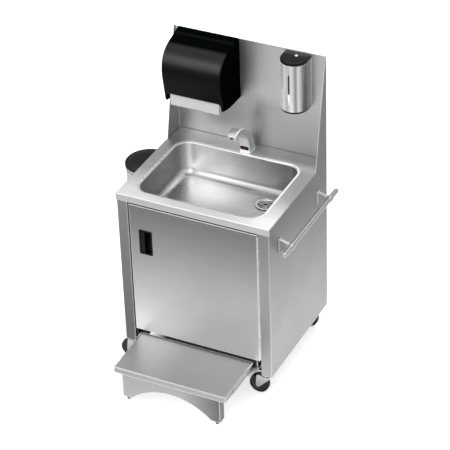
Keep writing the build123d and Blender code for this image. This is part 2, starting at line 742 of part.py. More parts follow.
with BuildPart() as towel_cover:
    towel_prism(0)
    add(cover_hollow.part, mode=Mode.SUBTRACT)
    inner = TOWEL_HALF - TOWEL_DRAFT * (COVER_BACK - 120) - TOWEL_SKIN
    slab((TOWEL_X - inner, TOWEL_X + inner), (90, 180), (1050, LIP_Z), mode=Mode.SUBTRACT)
    floor_half = TOWEL_HALF - TOWEL_DRAFT * (COVER_BACK - 140) - TOWEL_SKIN
    slab((TOWEL_X - floor_half, TOWEL_X + floor_half), (100, WALL), (1050, 1085), mode=Mode.SUBTRACT)
    rod((TOWEL_X, *TOWEL_PIVOT), (1, 0, 0), 3 + PLAY, 400, mode=Mode.SUBTRACT)
write_piece(towel_cover, "towel_cover")

CHASSIS_HALF = TOWEL_HALF - 8.5
with BuildPart() as towel_chassis:
    plate_y = (WALL - 4, WALL - GAP)
    slab((TOWEL_X - CHASSIS_HALF, TOWEL_X + CHASSIS_HALF), plate_y, (1062, 1335))
    for side in (-1, 1):
        ear = sorted((TOWEL_X + side * (CHASSIS_HALF - 5), TOWEL_X + side * CHASSIS_HALF))
        slab(ear, (TOWEL_PIVOT[0] - 5, WALL - 1), (TOWEL_PIVOT[1] - 4.5, TOWEL_PIVOT[1] + 5))
        rod((TOWEL_X + side * (CHASSIS_HALF + 2), *TOWEL_PIVOT), (1, 0, 0), 3, 11)
    for arm_x, boss in (((ROLL_X0 - 6, ROLL_X0 - 2), 1), ((ROLL_X1 + 2, ROLL_X1 + 6), -1)):
        slab(arm_x, (ROLL_Y - 4, WALL - 1), (ROLL_Z - 13, ROLL_Z + 13))
        rod(((arm_x[0] + arm_x[1]) / 2, ROLL_Y, ROLL_Z), (1, 0, 0), 15, 4)
        rod(((arm_x[0] + arm_x[1]) / 2 + boss * 6, ROLL_Y, ROLL_Z), (1, 0, 0), 12, 14)
        slab(arm_x, (133, WALL - 1), (1096, 1133))
    slab((ROLL_X0 - 3, ROLL_X1 + 3), (133, 135), (1096, 1105))
    rod(((ROLL_X0 + ROLL_X1) / 2, FEED_Y, FEED_Z), (1, 0, 0), 4 + PLAY, 300, mode=Mode.SUBTRACT)
write_piece(towel_chassis, "towel_chassis")

with BuildPart() as paper_roll:
    roll_mid = ((ROLL_X0 + ROLL_X1) / 2, ROLL_Y, ROLL_Z)
    rod(roll_mid, (1, 0, 0), ROLL_R, ROLL_X1 - ROLL_X0)
    rod(roll_mid, (1, 0, 0), 15.1, ROLL_X1 - ROLL_X0, mode=Mode.SUBTRACT)
    rod(roll_mid, (1, 0, 0), 15.0, ROLL_X1 - ROLL_X0 - 0.4)
    rod(roll_mid, (1, 0, 0), 12 + PLAY, 300, mode=Mode.SUBTRACT)
write_piece(paper_roll, "paper_roll")

with BuildPart() as feed_roller:
    feed_mid = ((ROLL_X0 + ROLL_X1) / 2, FEED_Y, FEED_Z)
    rod(feed_mid, (1, 0, 0), FEED_R, ROLL_X1 - ROLL_X0 + 1)
    rod(feed_mid, (1, 0, 0), 4, ROLL_X1 - ROLL_X0 + 12)
write_piece(feed_roller, "feed_roller")

with BuildPart() as paper_tail:
    with BuildSketch(Plane.YZ.offset(ROLL_X0 + 1)):
        with BuildLine():
            outside = Spline((136.0, 1126), (131, 1108), (128, 1085), (127, 1053))
            inside = Spline((127.8, 1053), (128.8, 1085), (131.8, 1108), (136.8, 1126))
            Line(outside @ 1, inside @ 0)
            Line(inside @ 1, outside @ 0)
        make_face()
    extrude(amount=ROLL_X1 - ROLL_X0 - 2)
write_piece(paper_tail, "paper_tail")

# ---- soap dispenser -----------------------------------------------------------------------
SLOT_Z = (1184.0, 1273.0)
with BuildPart() as soap_body:
    with BuildSketch(Plane.XY.offset(SOAP_LOW)):
        d_outline(SOAP_R)
        d_outline(SOAP_R - THIN, WALL - GAP - THIN, Mode.SUBTRACT)
    extrude(amount=SOAP_HIGH - SOAP_LOW)
    slab((SOAP_X - 4, SOAP_X + 4), (SOAP_Y - SOAP_R - 2, SOAP_Y - 40), SLOT_Z, mode=Mode.SUBTRACT)
    for side in (-1, 1):
        ear = sorted((SOAP_X + side * 46, SOAP_X + side * 49))
        slab(ear, (SOAP_PIVOT[0] - 4, WALL - 1), (SOAP_HIGH - 14, SOAP_HIGH))
        slab(ear, (SOAP_PIVOT[0] - 3, SOAP_PIVOT[0] + 3), (SOAP_HIGH - 1, SOAP_PIVOT[1] + 2))
    rod((SOAP_X, *SOAP_PIVOT), (1, 0, 0), 1.3, 98)
write_piece(soap_body, "soap_body")

with BuildPart() as soap_window:
    slab(
        (SOAP_X - 3.8, SOAP_X + 3.8),
        (SOAP_Y - SOAP_R + 0.3, SOAP_Y - SOAP_R + 2.4),
        (SLOT_Z[0] + 0.2, SLOT_Z[1] - 0.2),
    )
write_piece(soap_window, "soap_window")

with BuildPart() as soap_base:
    with BuildSketch(Plane.XY.offset(SOAP_LOW - 9.3)):
        d_outline(SOAP_R + 1)
    extrude(amount=9)
    fillet(soap_base.faces().sort_by(Axis.Z)[0].edges().group_by(Axis.Y)[0], 2.5)
    rod((SOAP_X, SOAP_Y - 28, SOAP_LOW - 13), (0, 0, 1), 9, 8)
    rod((SOAP_X, SOAP_Y - 28, SOAP_LOW - 16), (0, 0, 1), 3, 12, mode=Mode.SUBTRACT)
write_piece(soap_base, "soap_base")

with BuildPart() as soap_tank:
    with BuildSketch(Plane.XY.offset(SOAP_LOW + 8)):
        d_outline(SOAP_R - 7, WALL - 12)
    extrude(amount=180)
    offset(amount=-2, openings=soap_tank.faces().sort_by(Axis.Z)[-1:])
write_piece(soap_tank, "soap_tank")

with BuildPart() as soap_lid:
    with BuildSketch(Plane.XY.offset(SOAP_HIGH + 1.5)):
        d_outline(SOAP_R + 1)
    extrude(amount=13.5)
    fillet(soap_lid.faces().sort_by(Axis.Z)[-1].edges().group_by(Axis.Y)[0], 4)
    slab((SOAP_X - 70, SOAP_X + 70), (SOAP_PIVOT[0] + 2.8, WALL), (1310, 1340), mode=Mode.SUBTRACT)
    for side in (-1, 1):
        notch = sorted((SOAP_X + side * 45.2, SOAP_X + side * 49.8))
        slab(notch, (SOAP_PIVOT[0] - 16, WALL), (1310, 1340), mode=Mode.SUBTRACT)
    rod((SOAP_X, *SOAP_PIVOT), (1, 0, 0), 1.3 + PLAY, 110, mode=Mode.SUBTRACT)
    rod((SOAP_X, SOAP_Y + 8, SOAP_HIGH + 15.5), (0, 0, 1), 7, 3)
write_piece(soap_lid, "soap_lid")

# ---- side handle --------------------------------------------------------------------------
GUSSET = 14.0                 # width of each bracket's wedge

with BuildPart() as handle_bar:
    bar_mid = (HANDLE_X, (HANDLE_Y0 + HANDLE_Y1) / 2, HANDLE_Z)
    rod(bar_mid, (0, 1, 0), HANDLE_R, HANDLE_Y1 - HANDLE_Y0)
    fillet(handle_bar.edges().filter_by(GeomType.CIRCLE), 2)
write_piece(handle_bar, "handle_bar")

with BuildPart() as handle_brackets:
    for bracket_y in (-BRACKET_Y, BRACKET_Y):
        with BuildSketch(Plane.XZ.offset(-bracket_y - GUSSET / 2)):
            polygon(
                [
                    (HALF_W + GAP, HANDLE_Z + 22),
                    (HALF_W + GAP, HANDLE_Z - 37),
                    (HANDLE_X - 6, HANDLE_Z - 10),
                    (HANDLE_X - 6, HANDLE_Z + 8),
                ]
            )
        extrude(amount=GUSSET)
        foot = (bracket_y - 15, bracket_y + 15)
        slab((HALF_W + GAP, HALF_W + GAP + 3), foot, (HANDLE_Z - 42, HANDLE_Z + 27))
        rod((HANDLE_X, bracket_y, HANDLE_Z), (0, 1, 0), HANDLE_R + 3, 12)
    rod((HANDLE_X, 0, HANDLE_Z), (0, 1, 0), HANDLE_R + 0.05, 700, mode=Mode.SUBTRACT)
write_piece(handle_brackets, "handle_brackets")

# ---- waste bin ----------------------------------------------------------------------------
with BuildPart() as bin_bracket:
    ring_z = BIN_HIGH - 10
    rod((BIN_X, BIN_Y, ring_z), (0, 0, 1), BIN_R + 4, 6)
    slab((BIN_X, -HALF_W - 3), (BIN_Y - 20, BIN_Y + 20), (ring_z - 3, ring_z + 3))
    slab((-HALF_W - 3.3, -HALF_W - GAP), (BIN_Y - 25, BIN_Y + 25), (ring_z - 60, ring_z + 3))
    rod((BIN_X, BIN_Y, ring_z), (0, 0, 1), BIN_R + 0.8, 20, mode=Mode.SUBTRACT)
write_piece(bin_bracket, "bin_bracket")

BIN_PIVOT = (BIN_X + LID_R - 4, BIN_HIGH + 4.5)
with BuildPart() as bin_can:
    rod((BIN_X, BIN_Y, (BIN_LOW + BIN_HIGH) / 2), (0, 0, 1), BIN_R, BIN_HIGH - BIN_LOW)
    fillet(bin_can.edges().group_by(Axis.Z)[0], 6)
    rod((BIN_X, BIN_Y, BIN_HIGH - 3.2), (0, 0, 1), BIN_R + 3, 6.4)
    hollow_mid = (BIN_X, BIN_Y, (BIN_LOW + BIN_HIGH) / 2 + 2)
    rod(hollow_mid, (0, 0, 1), BIN_R - 1, BIN_HIGH - BIN_LOW, mode=Mode.SUBTRACT)
    for side in (-1, 1):
        lug_y = sorted((BIN_Y + side * 14, BIN_Y + side * 17))
        slab((BIN_PIVOT[0] - 4, BIN_PIVOT[0] + 3), lug_y, (BIN_HIGH - 6, BIN_PIVOT[1] + 3))
    rod((BIN_PIVOT[0], BIN_Y, BIN_PIVOT[1]), (0, 1, 0), 1.5, 34)
write_piece(bin_can, "bin_can")

LID_SPAN = (BIN_HIGH, BIN_HIGH + 20)
with BuildPart() as bin_lid:
    with BuildSketch(Plane.XZ.offset(-BIN_Y)):
        with BuildLine():
            dome = ThreePointArc(
                (BIN_X, BIN_HIGH + 18),
                (BIN_X + 54, BIN_HIGH + 15.5),
                (BIN_X + LID_R - 1, BIN_HIGH + 8),
            )
            Polyline(
                dome @ 1,
                (BIN_X + LID_R, BIN_HIGH + 7),
                (BIN_X + LID_R, BIN_HIGH + 1),
                (BIN_X, BIN_HIGH + 1),
                dome @ 0,
            )
        make_face()
    revolve(axis=Axis((BIN_X, BIN_Y, 0), (0, 0, 1)))
    for side in (-1, 1):
        notch = sorted((BIN_Y + side * 13.2, BIN_Y + side * 17.8))
        slab((BIN_PIVOT[0] - 14, BIN_PIVOT[0] + 12), notch, LID_SPAN, Mode.SUBTRACT)
    rod((BIN_PIVOT[0], BIN_Y, BIN_PIVOT[1]), (0, 1, 0), 1.5 + PLAY, 60, mode=Mode.SUBTRACT)
    back_edge = (BIN_PIVOT[0] + 2.5, BIN_PIVOT[0] + 12)
    slab(back_edge, (BIN_Y - 60, BIN_Y + 60), LID_SPAN, Mode.SUBTRACT)
write_piece(bin_lid, "bin_lid")

# ---- fasteners ----------------------------------------------------------------------------
SCREW_R = 3.2
with BuildPart() as fasteners:
    for screw_y in (-BRACKET_Y - 11, -BRACKET_Y + 11, BRACKET_Y - 11, BRACKET_Y + 11):
        for screw_z in (HANDLE_Z - 36, HANDLE_Z + 20):
            rod((HALF_W + GAP + 4.2, screw_y, screw_z), (1, 0, 0), SCREW_R, 2)
    for screw_y in (BIN_Y - 15, BIN_Y + 15):
        rod((-HALF_W - 4.5, screw_y, BIN_HIGH - 55), (1, 0, 0), SCREW_R, 2)
    nut = (FAUCET_X, SHANK_Y, DECK_TOP - 8)
    rod(nut, (0, 0, 1), SHANK_R + 8, 9)
    rod(nut, (0, 0, 1), SHANK_R + PLAY, 12, mode=Mode.SUBTRACT)
write_piece(fasteners, "fasteners")
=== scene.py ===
"""Looks of the portable handwash sink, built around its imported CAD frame.

Metres, in the frame's own axes. Places come from the boxes of the CAD nodes; a size that no node
states is a named value in millimetres, turned into metres by MM.
"""

import math
import random

import bmesh
import bpy
from mathutils import Matrix, Vector


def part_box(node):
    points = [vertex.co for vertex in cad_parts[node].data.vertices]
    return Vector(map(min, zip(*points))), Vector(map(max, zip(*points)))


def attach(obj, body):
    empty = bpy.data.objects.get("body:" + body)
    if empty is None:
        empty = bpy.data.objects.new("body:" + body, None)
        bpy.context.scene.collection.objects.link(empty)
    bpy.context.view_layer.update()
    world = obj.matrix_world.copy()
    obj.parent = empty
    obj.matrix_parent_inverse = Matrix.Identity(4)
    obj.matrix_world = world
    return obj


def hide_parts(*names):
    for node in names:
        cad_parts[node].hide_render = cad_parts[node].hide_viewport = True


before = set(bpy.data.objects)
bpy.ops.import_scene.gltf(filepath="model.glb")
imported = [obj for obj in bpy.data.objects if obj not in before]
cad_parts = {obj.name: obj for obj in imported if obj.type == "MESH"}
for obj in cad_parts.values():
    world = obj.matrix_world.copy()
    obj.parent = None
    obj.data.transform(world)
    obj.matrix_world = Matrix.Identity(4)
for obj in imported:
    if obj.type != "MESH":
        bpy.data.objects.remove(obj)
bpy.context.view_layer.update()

MM = 0.001
scene = bpy.context.scene


# ---- places ----
class Span:
    """The box of a CAD node at rest."""

    def __init__(self, node):
        low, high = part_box(node)
        self.x0, self.y0, self.z0 = low
        self.x1, self.y1, self.z1 = high
        self.mid = (low + high) / 2


side_left, side_right = Span("side_panel_left"), Span("side_panel_right")
CABINET_X = (side_left.x0 + side_right.x1) / 2
CABINET_Y = side_right.mid.y
MIDDLE = Vector((CABINET_X, CABINET_Y, 0))
deck_box, basin_box = Span("deck"), Span("basin")
DECK_Z = deck_box.z1


# ---- mesh tools ----
class Shape:
    """Vertices and faces collected from several closed or open surfaces."""

    def __init__(self):
        self.verts, self.faces, self.slots = [], [], []

    def add(self, surface, slot=0):
        verts, faces = surface
        start = len(self.verts)
        self.verts += [tuple(v) for v in verts]
        self.faces += [tuple(start + i for i in face) for face in faces]
        self.slots += [slot] * len(faces)
        return self


def bridge(rings, closed=True, caps=True, looped=False):
    """Surface through rings of equally many points, with caps on its two ends."""
    count = len(rings[0])
    verts = [point for ring in rings for point in ring]
    faces = []
    last = len(rings) if looped else len(rings) - 1
    for r in range(last):
        here, there = r * count, (r + 1) % len(rings) * count
        for i in range(count if closed else count - 1):
            j = (i + 1) % count
            faces.append((here + i, here + j, there + j, there + i))
    if caps and not looped:
        faces.append(tuple(range(count - 1, -1, -1)))
        faces.append(tuple(range((len(rings) - 1) * count, len(rings) * count)))
    return verts, faces


def smooth_curve(points, steps):
    """Points along a smooth curve through the given ones."""
    points = [Vector(p) for p in points]
    padded = [points[0] * 2 - points[1], *points, points[-1] * 2 - points[-2]]
    curve = []
    for a, b, c, d in zip(padded, padded[1:], padded[2:], padded[3:]):
        for s in range(steps):
            t = s / steps
            bend = (2 * a - 5 * b + 4 * c - d) * t * t + (3 * b - a - 3 * c + d) * t ** 3
            curve.append((2 * b + (c - a) * t + bend) / 2)
    curve.append(points[-1])
    return curve


def arc(centre, radius, start, end, steps):
    """Points on an arc in a plane, with angles in degrees."""
    angles = [math.radians(start + (end - start) * i / steps) for i in range(steps + 1)]
    return [(centre[0] + radius * math.cos(a), centre[1] + radius * math.sin(a)) for a in angles]


def onto(axis, a, b, along):
    """The point with plane coordinates a, b and a distance along an axis."""
    if axis == "X":
        return Vector((along, a, b))
    if axis == "Y":
        return Vector((b, along, a))
    return Vector((a, b, along))


def revolved(profile, centre, axis="Z", segments=72, looped=False):
    """Body turned from (radius, height) points about an axis through a centre."""
    rings = []
    for radius, height in profile:
        ring = []
        for k in range(segments):
            angle = 2 * math.pi * k / segments
            across = radius * math.cos(angle), radius * math.sin(angle)
            ring.append(Vector(centre) + onto(axis, *across, height))
        rings.append(ring)
    return bridge(rings, looped=looped)


def rounded_outline(width, height, radius, corner=6, side=1, centre=(0, 0)):
    """Outline of a rectangle with round corners, anticlockwise from its right side."""
    points = []
    for k, (sx, sy) in enumerate(((1, 1), (-1, 1), (-1, -1), (1, -1))):
        middle = centre[0] + sx * (width / 2 - radius), centre[1] + sy * (height / 2 - radius)
        points.append(arc(middle, radius, 90 * k, 90 * k + 90, corner))
    outline = []
    for k, points_here in enumerate(points):
        outline += points_here
        a, b = points_here[-1], points[(k + 1) % 4][0]
        for s in range(1, side):
            t = s / side
            outline.append((a[0] + (b[0] - a[0]) * t, a[1] + (b[1] - a[1]) * t))
    return outline


def extruded(outline, axis, low, high):
    """Closed prism on an outline across an axis."""
    return bridge([[onto(axis, a, b, h) for a, b in outline] for h in (low, high)])


def block(low, high):
    """Closed box between two corners, to be bevelled by its piece."""
    outline = [(low[0], low[1]), (high[0], low[1]), (high[0], high[1]), (low[0], high[1])]
    return extruded(outline, "Z", low[2], high[2])


def turned_out(mesh, weld=0.0):
    """Turns all faces outwards, after joining points nearer than a distance."""
    work = bmesh.new()
    work.from_mesh(mesh)
    if weld:
        bmesh.ops.remove_doubles(work, verts=work.verts, dist=weld)
    bmesh.ops.recalc_face_normals(work, faces=work.faces)
    work.to_mesh(mesh)
    work.free()


def bevelled(made, width, segments, angle):
    """Rounds an object's edges that are sharper than an angle in degrees."""
    edge = made.modifiers.new("rounded edges", "BEVEL")
    edge.width = width
    edge.segments = segments
    edge.limit_method = "ANGLE"
    edge.angle_limit = math.radians(angle)


def thickened(made, thickness):
    """Gives a surface the thickness of its sheet, inwards."""
    wall = made.modifiers.new("sheet", "SOLIDIFY")
    wall.thickness = thickness
    wall.offset = -1


def placed(name, data):
    """New object in the scene."""
    made = bpy.data.objects.new(name, data)
    scene.collection.objects.link(made)
    return made


def attached(name, mesh, sharp, nodes, body):
    """Object that stands for CAD nodes, rides on a body and is smooth below an edge angle."""
    mesh.shade_smooth()
    mesh.set_sharp_from_angle(angle=math.radians(sharp))
    made = placed(name, mesh)
    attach(made, body)
    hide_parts(*nodes)
    return made


def in_mm(pairs, rise=0.0):
    """Pairs of values given in millimetres, with the second one raised by a height in metres."""
    return [(a * MM, b * MM + rise) for a, b in pairs]


def piece(name, shape, materials, nodes, body="cabinet", bevel=0.0, skin=0.0, sharp=35,
          closed=True):
    """Makes a shape into an object that stands for CAD nodes and rides on a body."""
    if not isinstance(shape, Shape):
        shape = Shape().add(shape)
    mesh = bpy.data.meshes.new(name)
    mesh.from_pydata(shape.verts, [], shape.faces)
    for material in materials:
        mesh.materials.append(material)
    mesh.polygons.foreach_set("material_index", shape.slots)
    if closed:
        turned_out(mesh)
    made = attached(name, mesh, sharp, nodes, body)
    if bevel:
        bevelled(made, bevel, 3, sharp)
    if skin:
        thickened(made, skin)
    if bevel:
        made.modifiers.new("flat faces", "WEIGHTED_NORMAL").keep_sharp = True
    return made


# ---- materials ----
class Graph:
    """Adds nodes to a shader tree."""

    def __init__(self, tree):
        self.tree = tree

    def node(self, kind, settings=(), **inputs):
        """New node of a kind, with its settings and named inputs."""
        made = self.tree.nodes.new("ShaderNode" + kind)
        for key, value in dict(settings).items():
            setattr(made, key, value)
        for key, value in inputs.items():
            self.feed(made.inputs[key.replace("_", " ")], value)
        return made

    def feed(self, socket, value):
        if isinstance(value, bpy.types.NodeSocket):
            self.tree.links.new(value, socket)
        else:
            socket.default_value = value

    def math(self, operation, a, b=0.0, kind="Math"):
        made = self.node(kind, {"operation": operation})
        self.feed(made.inputs[0], a)
        self.feed(made.inputs[1], b)
        return made.outputs["Value"]

    def times(self, first, *others):
        for value in others:
            first = self.math("MULTIPLY", first, value)
        return first

    def largest(self, first, *others):
        for value in others:
            first = self.math("MAXIMUM", first, value)
        return first

    def split(self, vector):
        made = self.node("SeparateXYZ", Vector=vector)
        return [made.outputs[k] for k in "XYZ"]

    def ramp(self, value, low, high, start=0.3, end=0.7):
        """Value between low and high as the input goes from start to end."""
        span = {"From_Min": start, "From_Max": end, "To_Min": low, "To_Max": high}
        return self.node("MapRange", Value=value, **span).outputs["Result"]

    def mix(self, factor, a, b):
        """Colour between a and b."""
        made = self.node("Mix", {"data_type": "RGBA"})
        self.feed(made.inputs["Factor"], factor)
        self.feed(made.inputs[6], a)
        self.feed(made.inputs[7], b)
        return made.outputs[2]

    def joined(self, kind, a, b, **inputs):
        """Shader made of two others."""
        made = self.node(kind, **inputs)
        self.feed(made.inputs[-2], a)
        self.feed(made.inputs[-1], b)
        return made.outputs[0]

    def shade(self, value):
        """Grey colour of a value."""
        made = self.node("CombineColor", Red=value, Green=value, Blue=value)
        return made.outputs["Color"]


# cosines of the turn of the rounded normal where an edge starts to show and is brightest
RIM_COSINES = 0.998, 0.95


class Recipe(Graph):
    """Builds one procedural material's nodes."""

    def __init__(self, name, metallic=0.0):
        self.material = bpy.data.materials.new(name)
        self.material.use_nodes = True
        super().__init__(self.material.node_tree)
        self.shader = self.tree.nodes["Principled BSDF"]
        self.shader.inputs["Metallic"].default_value = metallic
        self.place = self.node("TexCoord").outputs["Object"]

    def from_middle(self):
        """Distances to the right of and behind the cabinet's middle, and height."""
        x, y, z = self.split(self.place)
        return self.math("SUBTRACT", x, CABINET_X), self.math("SUBTRACT", y, CABINET_Y), z

    def pebbles(self, scale):
        """Rounded cells of a given density."""
        cells = {"feature": "SMOOTH_F1"}
        made = self.node("TexVoronoi", cells, Vector=self.place, Scale=scale)
        return made.outputs["Distance"]

    def noise(self, scale, stretch=(1, 1, 1), detail=4.0, roughness=0.55):
        """Noise in 0..1, drawn out along the axes with a small stretch value."""
        place = self.node("Mapping", Vector=self.place, Scale=stretch).outputs["Vector"]
        made = self.node("TexNoise", Vector=place, Scale=scale, Detail=detail, Roughness=roughness)
        return made.outputs["Fac"]

    def bump(self, height, strength, distance, base=None):
        made = self.node("Bump", Height=height, Strength=strength, Distance=distance)
        if base:
            self.feed(made.inputs["Normal"], base)
        self.feed(self.shader.inputs["Normal"], made.outputs["Normal"])

    def facing(self):
        """Components of the surface normal."""
        return self.split(self.node("NewGeometry").outputs["Normal"])

    def edges(self, radius):
        """The normal with sheet edges rounded over, and 1 on those edges, 0 on the faces."""
        rounded = self.node("Bevel", {"samples": 6}, Radius=radius).outputs["Normal"]
        flat = self.node("NewGeometry").outputs["Normal"]
        alike = self.math("DOT_PRODUCT", rounded, flat, "VectorMath")
        return rounded, self.ramp(alike, 0, 1, *RIM_COSINES)

    def set(self, **inputs):
        for key, value in inputs.items():
            self.feed(self.shader.inputs[key.replace("_", " ")], value)
        return self.material


def grey(level, warm=0.0):
    """Neutral colour, shifted a little towards warm or cool."""
    return (level * (1 + warm), level, level * (1 - warm), 1)


SHADED = 0.12  # share of a sheet's level left where its shade is full
# strength of the glow of the painted edge highlights
RIM_GLOW = 0.45


def brushed(name, level, rough, stretch, grain=260.0, strength=0.12, metallic=1.0, tint=0.0,
            edge=0.0, shade=None, glow=0.0):
    """Sheet metal with a brushed grain, faint smudges, uneven polish and painted highlights on its
    edges.

    Shade is a function that gives 1 where painted shade and reflections darken the sheet, 0 where
    they don't. Glow, a number or a function, is painted light on a sheet with no edge highlights.
    """
    r = Recipe(name, metallic)
    streaks = r.noise(grain, stretch, detail=5, roughness=0.7)
    smudges = r.noise(5.0, detail=3)
    tone = r.mix(r.ramp(streaks, 0, 1), grey(level * 0.90, tint), grey(min(1, level * 1.06), tint))
    tone = r.mix(r.ramp(smudges, 0, 0.35), tone, grey(level * 0.88, tint))
    # painted shade and painted reflections: darker towards a share of the level where the shade gives 1
    if shade:
        tone = r.mix(shade(r), tone, grey(level * SHADED, tint))
    rounded = None
    # painted highlight: the rounded edges turn white and glow
    if edge:
        rounded, rim = r.edges(edge)
        tone = r.mix(rim, tone, grey(1.0))
        r.set(Emission_Color=grey(1.0), Emission_Strength=r.times(rim, RIM_GLOW))
    # painted light: the sheet glows in its own colour
    elif glow:
        r.set(Emission_Color=tone, Emission_Strength=glow(r) if callable(glow) else glow)
    polish = r.ramp(streaks, rough - 0.05, rough + 0.06)
    worn = r.math("ADD", polish, r.ramp(smudges, -0.02, 0.04))
    r.bump(streaks, strength, 0.0004, rounded)
    return r.set(Base_Color=tone, Roughness=worn)


# The shades below stand in for what the sheets reflect in a photographer's studio. Their ramps
# end at distances from the cabinet's middle, heights, or components of the surface normal.
def deck_shade(r):
    """Strips of the deck beside and behind the bowl."""
    aside, behind, _ = r.from_middle()
    strips = r.times(r.ramp(r.math("ABSOLUTE", aside), 0, 1, 0.22, 0.29),
                     r.ramp(behind, 0, 1, -0.24, -0.06), r.ramp(behind, 0.55, 0.25, 0.14, 0.22))
    rear = r.times(r.ramp(behind, 0, 1, 0.14, 0.22), r.ramp(aside, 0.30, 0.72, -0.05, 0.22),
                   r.ramp(aside, 0.3, 1, -0.3, -0.15))
    return r.largest(strips, rear)


def bowl_shade(r):
    """Left wall; rear wall and floor towards the right; floor towards the front."""
    nx, ny, nz = r.facing()
    aside, behind, _ = r.from_middle()
    rightwards = r.ramp(aside, 0, 1, -0.14, 0.20)
    left_wall = r.ramp(nx, 0, 0.85, 0.55, 0.95)
    rear_wall = r.times(r.ramp(ny, 0, 0.75, -0.4, -0.9), rightwards)
    floor = r.times(r.ramp(nz, 0, 0.32, 0.6, 0.95), rightwards)
    front = r.times(r.ramp(nz, 0, 1, 0.6, 0.95), r.ramp(behind, 0.4, 0, -0.22, -0.12))
    return r.largest(left_wall, rear_wall, floor, front)


def bowl_glow(r):
    """Light patch in the left end of the rear wall."""
    aside, _, _ = r.from_middle()
    return r.times(r.ramp(aside, 0.5, 0, -0.23, 0.02), r.ramp(aside, 0, 1, -0.27, -0.20),
                   r.ramp(r.facing()[1], 0, 1, -0.5, -0.9))


def wall_shade(r):
    """Backsplash towards the deck."""
    return r.ramp(r.from_middle()[2], 0.38, 0, 0.90, 1.12)


def side_shade(r):
    """Left jamb towards its foot, and the right side under the deck."""
    aside, _, z = r.from_middle()
    jamb = r.times(r.ramp(aside, 1, 0, -0.2, -0.19), r.ramp(z, 0.75, 0.15, 0.2, 0.85))
    under_deck = r.times(r.ramp(aside, 0, 1, 0.2, 0.21), r.ramp(z, 0, 0.25, 0.55, 0.84))
    return r.largest(jamb, under_deck)


def front_shade(r):
    """Door, header and rear panel towards their top."""
    return r.ramp(r.from_middle()[2], 0, 0.68, 0.24, 0.78)


def step_shade(r):
    """Right part of the tread, and of the apron under it."""
    aside, _, z = r.from_middle()
    apron = r.times(r.ramp(z, 1, 0, 0.135, 0.145), r.ramp(aside, 0, 0.7, 0.05, 0.22))
    top = r.ramp(r.facing()[2], 0, 1, 0.8, 0.95)
    return r.largest(apron, r.times(top, r.ramp(aside, 0, 0.38, -0.22, -0.02)))


def soap_shade(r):
    """Tall soft stripes round the polished soap dispenser."""
    nx, _, _ = r.facing()
    made = r.node("ValToRGB", Fac=r.ramp(nx, 0, 1, -1, 1))
    stops = made.color_ramp.elements
    stops[0].color, stops[1].color = grey(0.2), grey(0.85)
    for place, level in ((0.06, 0.0), (0.30, 0.0), (0.42, 0.35), (0.50, 0.30), (0.58, 0.0),
                         (0.67, 0.35), (0.74, 0.75), (0.81, 0.0), (0.87, 0.3), (0.93, 0.8)):
        stops.new(place).color = grey(level)
    return made.outputs["Color"]


def polished(name, level, rough, grain=300.0, strength=0.03):
    """Chrome or polished steel with fine wipe marks."""
    r = Recipe(name, metallic=1.0)
    wipes = r.noise(grain)
    film = r.noise(14.0, detail=3)
    r.bump(wipes, strength, 0.0002)
    tone = r.mix(r.ramp(film, 0, 0.3), grey(level), grey(level * 0.93))
    return r.set(Base_Color=tone, Roughness=r.ramp(wipes, rough * 0.8, rough * 1.3))


def moulded(name, color, rough, grain=1400.0, strength=0.08, coat=0.0, painted_sheen=False, specular=0.5):
    """Moulded plastic or rubber with a fine leather-like grain and handling marks.

    With a painted sheen the plastic shines only on faces that look forwards, a painted highlight, and
    is dull on its top and sides, a painted shade.
    """
    r = Recipe(name)
    r.set(Specular_IOR_Level=specular)
    if painted_sheen:
        # painted highlight on faces that look forwards, painted shade on the top and sides
        _, forwards, upwards = r.facing()
        shine = r.ramp(forwards, 0, 0.42, -0.25, -0.75)
        r.set(Specular_IOR_Level=r.times(shine, r.ramp(upwards, 0.35, 1.7, 0.1, 0.6)))
    marks = r.noise(18.0, detail=4)
    r.bump(r.pebbles(grain), strength, 0.0003)
    lighter = tuple(min(1, c * 1.35 + 0.001) for c in color) + (1,)
    tone = r.mix(r.ramp(marks, 0, 0.6), (*color, 1), lighter)
    worn = r.ramp(marks, rough - 0.04, rough + 0.07)
    return r.set(Base_Color=tone, Roughness=worn, Coat_Weight=coat, Coat_Roughness=0.12)


def embossed_paper():
    """Embossed paper towel."""
    r = Recipe("paper")
    fibres = r.noise(900.0, (1, 1, 0.35), detail=6)
    r.bump(r.math("ADD", r.pebbles(330.0), r.ramp(fibres, 0, 0.4)), 0.35, 0.0005)
    tone = r.mix(r.ramp(fibres, 0, 1), grey(0.62), grey(0.72))
    return r.set(Base_Color=tone, Roughness=0.9, Sheen_Weight=0.1)


def translucent(name, color, rough, alpha):
    """Blow-moulded plastic that lets a little light through."""
    r = Recipe(name)
    ripple = r.noise(60.0, detail=5)
    r.bump(ripple, 0.15, 0.001)
    tone = r.mix(r.ramp(ripple, 0, 0.5), (*color, 1), tuple(c * 0.9 for c in color) + (1,))
    r.set(Subsurface_Weight=0.15, Subsurface_Radius=(0.01, 0.01, 0.01), Alpha=alpha)
    return r.set(Base_Color=tone, Roughness=r.ramp(ripple, rough - 0.05, rough + 0.08))


ALONG_X = (0.012, 1, 1)
ALONG_Y = (1, 0.012, 1)
ALONG_Z = (1, 1, 0.012)
